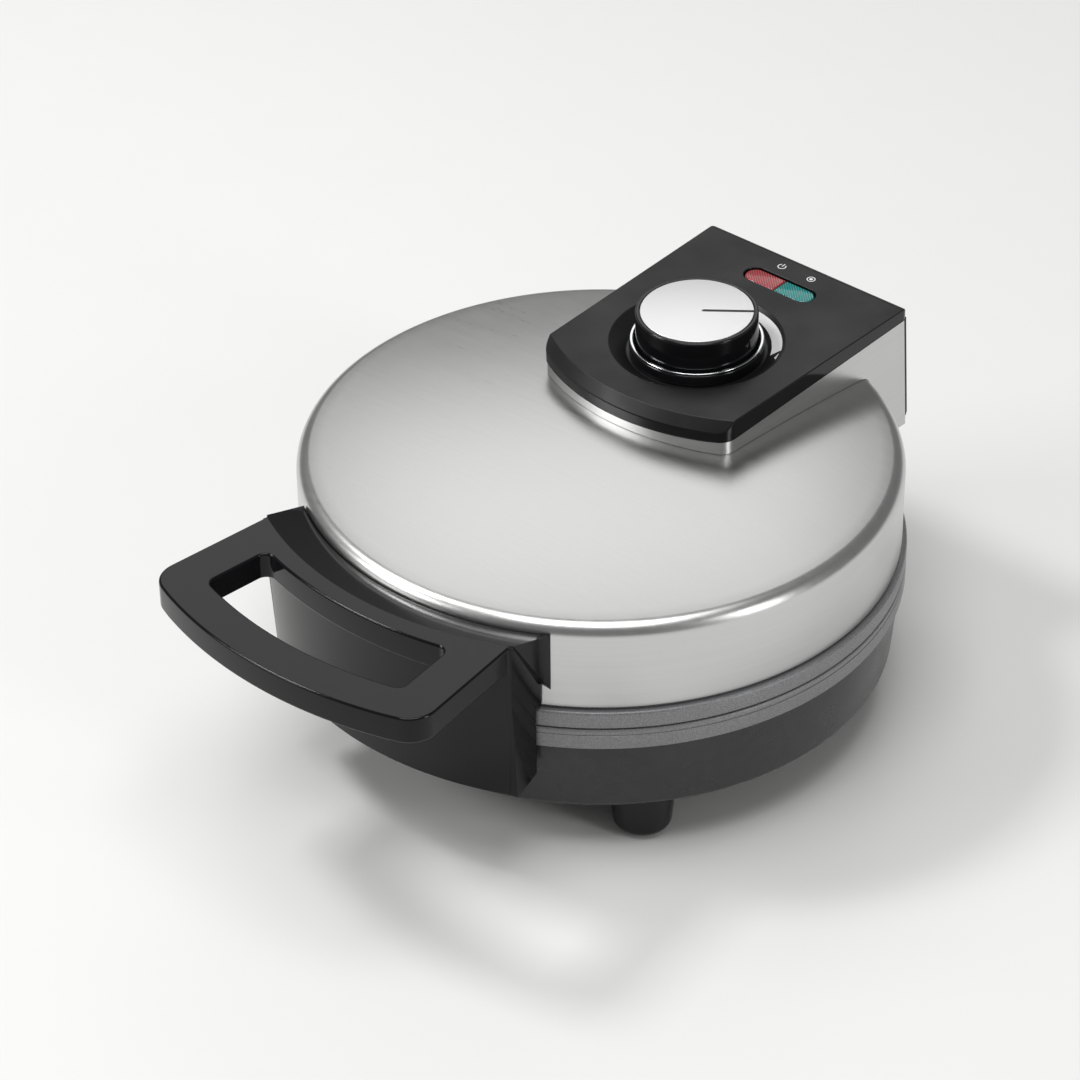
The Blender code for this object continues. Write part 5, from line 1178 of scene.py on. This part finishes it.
def power_sign(centre, low, high):
    """An open ring with a bar in its gap."""
    x, y = centre
    half, tip, gap = STROKE / 2, 0.002, 0.6
    start = math.pi / 2 + gap
    end = start + 2 * (math.pi - gap)
    ring = arc(centre, SIGN_RADIUS, start, end, 40)
    ring += arc(centre, SIGN_RADIUS - STROKE, end, start, 40)
    bar = [(x - half, y), (x + half, y), (x + half, y + tip), (x - half, y + tip)]
    return joined(plate("power_sign", ring, low, high), plate("bar", bar, low, high))


def ready_sign(centre, low, high):
    """A closed ring round a dot."""
    start = math.pi / 2
    end = start + 2 * math.pi
    sign = plate("ready_sign", arc(centre, SIGN_RADIUS, start, end, 40)[:-1], low, high)
    hole = arc(centre, SIGN_RADIUS - STROKE, end, start, 40)[:-1]
    carve(sign, plate("middle", hole, 0.0, 0.001))
    dot = arc(centre, 0.0007, 0.0, 2 * math.pi, 24)[:-1]
    return joined(sign, plate("dot", dot, low, high))


def lay_on_slope(piece, lift):
    """Lets a flat mark down onto the dish's conical wall, round the dial."""
    control = settings().control
    slope = control.dish_depth / (control.dish_radius - control.dish_floor)
    shape = bmesh.from_edit_mesh(piece.data)
    for vertex in shape.verts:
        sink = (control.dish_radius - Vector(vertex.co.xy).length) * slope
        vertex.co.z -= sink - lift
        vertex.co.y += control.knob_place
    bmesh.update_edit_mesh(piece.data)
    return piece


def heat_scale(film):
    """A crescent round the knob that tapers from the hot end to the cool one."""
    start, end, steps = math.radians(28), math.radians(152), 60
    middle, thick_end, thin_end = 0.0299, 0.0040, 0.0002
    outer, inner = [], []
    for i in range(steps + 1):
        turn = start + (end - start) * i / steps
        wide = thick_end * (1 - i / steps) + thin_end
        for line, radius in ((outer, middle + wide / 2), (inner, middle - wide / 2)):
            line.append((radius * math.cos(turn), radius * math.sin(turn)))
    return lay_on_slope(plate("heat_scale", outer + inner[::-1], 0.0, film), film)


def maximum_sign(film):
    """A small triangle at the hot end of the heat scale."""
    place, size = 0.0302, 0.0026
    turn, spread = math.radians(21), math.radians(60)
    tip = [(place * math.cos(turn), place * math.sin(turn))]
    tip += arc(tip[0], size, turn + spread, turn - spread, 2)[::2]
    return lay_on_slope(plate("maximum_sign", tip[::-1], 0.0, film), film)


def print_mark(piece):
    settle(piece, "lid", panel_frame(), "printed_mark")


class PrintedMarks(bpy.types.Operator):
    """Generic marks: a power sign, a ready sign, a maximum sign and the tapering heat scale"""

    bl_idname = "waffle.printed_marks"
    bl_label = "Printed marks"

    def execute(self, context):
        low, high, film = 0.00004, 0.00010, 0.00006
        apart = 0.0071
        row = settings().control.lens_place + 0.0103
        print_mark(power_sign((-apart, row), low, high))
        print_mark(ready_sign((apart, row), low, high))
        print_mark(heat_scale(film))
        print_mark(maximum_sign(film))
        return {"FINISHED"}


class Mechanism(bpy.types.Operator):
    """Hinge, screws, heaters and the other inner pieces in their finishes, the hinge and some others
    with their edges eased
    """

    bl_idname = "waffle.mechanism"
    bl_label = "Hinge and inner pieces"

    def execute(self, context):
        bodies = frame["record"]["behaviour"]["bodies"]
        eased = {
            "hinge_bracket": ("satin_black", 0.0005),
            "hinge_arm_left": ("satin_black", 0.0005),
            "hinge_arm_right": ("satin_black", 0.0005),
            "cord_inlet": ("black_rubber", 0.0004),
            "terminal_block": ("white_ceramic", 0.0004),
            "thermostat": ("white_ceramic", 0.0005),
            "thermostat_bracket": ("zinc_steel", 0.0001),
            "lamp_holder": ("satin_black", 0.0004),
        }
        owner = {node: body for body, nodes in bodies.items() for node in nodes}
        for node, (look, width) in eased.items():
            piece = refined(f"{node}_eased", node, width)
            settle(piece, owner[node], Matrix.Identity(4), look, [node], weighted=True)
        looks = (
            ("heater_clip", "aluminium_sheet"),
            ("heater", "heater_sheath"),
            ("reflector", "aluminium_sheet"),
            ("screw", "zinc_steel"),
            ("pin", "zinc_steel"),
            ("shaft", "zinc_steel"),
            ("fuse", "white_ceramic"),
            ("lamp", "lamp_glass"),
        )
        for node, solid in frame["nodes"].items():
            if solid.hide_render:
                continue
            for word, look in looks:
                if word in node:
                    solid.data.materials.clear()
                    solid.data.materials.append(material(look))
                    break
            else:
                raise RuntimeError(f"{node} has no finish")
        return {"FINISHED"}


# Stage ------------------------------------------------------------------------------------------
MIDDLE = (0.0, 0.0, 0.08)
LIGHTS = (
    ("back_softbox", (-1.10, 1.24, 1.60), (1.15, 1.05), 4.8),
    ("top_softbox", (0.20, -0.30, 2.3), (1.4, 1.4), 27.0),
    ("front_left_softbox", (-1.15, -1.40, 1.20), (0.9, 0.6), 12.0),
    ("edge_light", (-1.20, -0.45, 1.95), (0.42, 0.42), 17.0),
    ("right_strip", (1.9, 0.2, 0.75), (0.4, 1.3), 9.0),
)
CAMERA_PLACE = (0.77102, -0.86558, 0.90241)
CAMERA_TURN = (0.7326, 0.6212, -0.0111)
CAMERA_LENS = 129.18


def panel_light(name, place, size, power):
    """A rectangular light, sized in metres and watts, turned to the object's middle."""
    bpy.ops.object.light_add(type="AREA", location=place)
    light = bpy.context.object
    light.name = name
    light.data.shape = "RECTANGLE"
    light.data.size, light.data.size_y = size
    light.data.energy = power
    aim = Vector(MIDDLE) - Vector(place)
    light.rotation_euler = aim.to_track_quat("-Z", "Y").to_euler()


def facing(yaw, pitch, roll):
    """The turn of a camera that looks along a yaw and a fall below the horizon, then rolls."""
    level = math.cos(pitch)
    forward = Vector((-math.sin(yaw) * level, math.cos(yaw) * level, -math.sin(pitch)))
    right = Vector((math.cos(yaw), math.sin(yaw), 0.0))
    up = right.cross(forward)
    across = math.cos(roll) * right + math.sin(roll) * up
    upwards = -math.sin(roll) * right + math.cos(roll) * up
    return Matrix((across, upwards, -forward)).transposed().to_4x4()


class Stage(bpy.types.Operator):
    """A pale floor, soft studio lights and the camera"""

    bl_idname = "waffle.stage"
    bl_label = "Stage"

    def execute(self, context):
        stage = settings().stage
        object_mode()
        bpy.ops.object.select_all(action="DESELECT")
        bpy.ops.mesh.primitive_plane_add(size=40.0, location=(0.0, 0.0, -0.0002))
        floor = bpy.context.object
        floor.name = "floor"
        made = Shader("pale_floor", stage.floor)
        made.tint(made.noise(3.0), 0.985, 1.01)
        made.rough(made.noise(40.0), 0.65, 0.75)
        floor.data.materials.append(made.material)
        world = bpy.data.worlds.new("studio")
        bpy.context.scene.world = world
        world.use_nodes = True
        light = world.node_tree.nodes["Background"]
        light.inputs["Color"].default_value = (1.0, 1.0, 1.0, 1.0)
        light.inputs["Strength"].default_value = stage.room
        for light in LIGHTS:
            panel_light(*light)
        bpy.ops.object.camera_add(location=CAMERA_PLACE)
        camera = bpy.context.object
        camera.matrix_world = Matrix.Translation(camera.location) @ facing(*CAMERA_TURN)
        camera.data.lens = CAMERA_LENS
        camera.data.sensor_width = 36.0
        camera.data.clip_end = 100.0
        bpy.context.scene.camera = camera
        bpy.context.scene.view_settings.view_transform = "Standard"
        return {"FINISHED"}


OPERATORS = (
    LidSkin,
    PlateRings,
    BakingGrids,
    BaseShell,
    Feet,
    Handle,
    HousingWall,
    HousingBack,
    ControlPanel,
    DialCollar,
    Knob,
    Lenses,
    PrintedMarks,
    Mechanism,
    Stage,
)
SETTINGS = (BodySizes, HandleSizes, ControlSizes, Finishes, StageSettings, WaffleMaker)


class WafflePanel(bpy.types.Panel):
    """Lists the operators in the order in which they are run"""

    bl_idname = "VIEW3D_PT_waffle_maker"
    bl_label = "Waffle maker"
    bl_space_type = "VIEW_3D"
    bl_region_type = "UI"
    bl_category = "Waffle maker"

    def draw(self, context):
        groups = context.scene.waffle_maker
        for group in (groups.body, groups.handle, groups.control, groups.finish, groups.stage):
            box = self.layout.box()
            for name in group.__annotations__:
                box.prop(group, name)
        for operator in OPERATORS:
            self.layout.operator(operator.bl_idname)


def register():
    for kind in (*SETTINGS, *OPERATORS, WafflePanel):
        bpy.utils.register_class(kind)
    bpy.types.Scene.waffle_maker = PointerProperty(type=WaffleMaker)


def unregister():
    del bpy.types.Scene.waffle_maker
    for kind in reversed((*SETTINGS, *OPERATORS, WafflePanel)):
        bpy.utils.unregister_class(kind)


def main():
    register()
    object_mode()
    for operator in OPERATORS:
        group, name = operator.bl_idname.split(".")
        getattr(getattr(bpy.ops, group), name)()


if __name__ == "__main__":
    main()
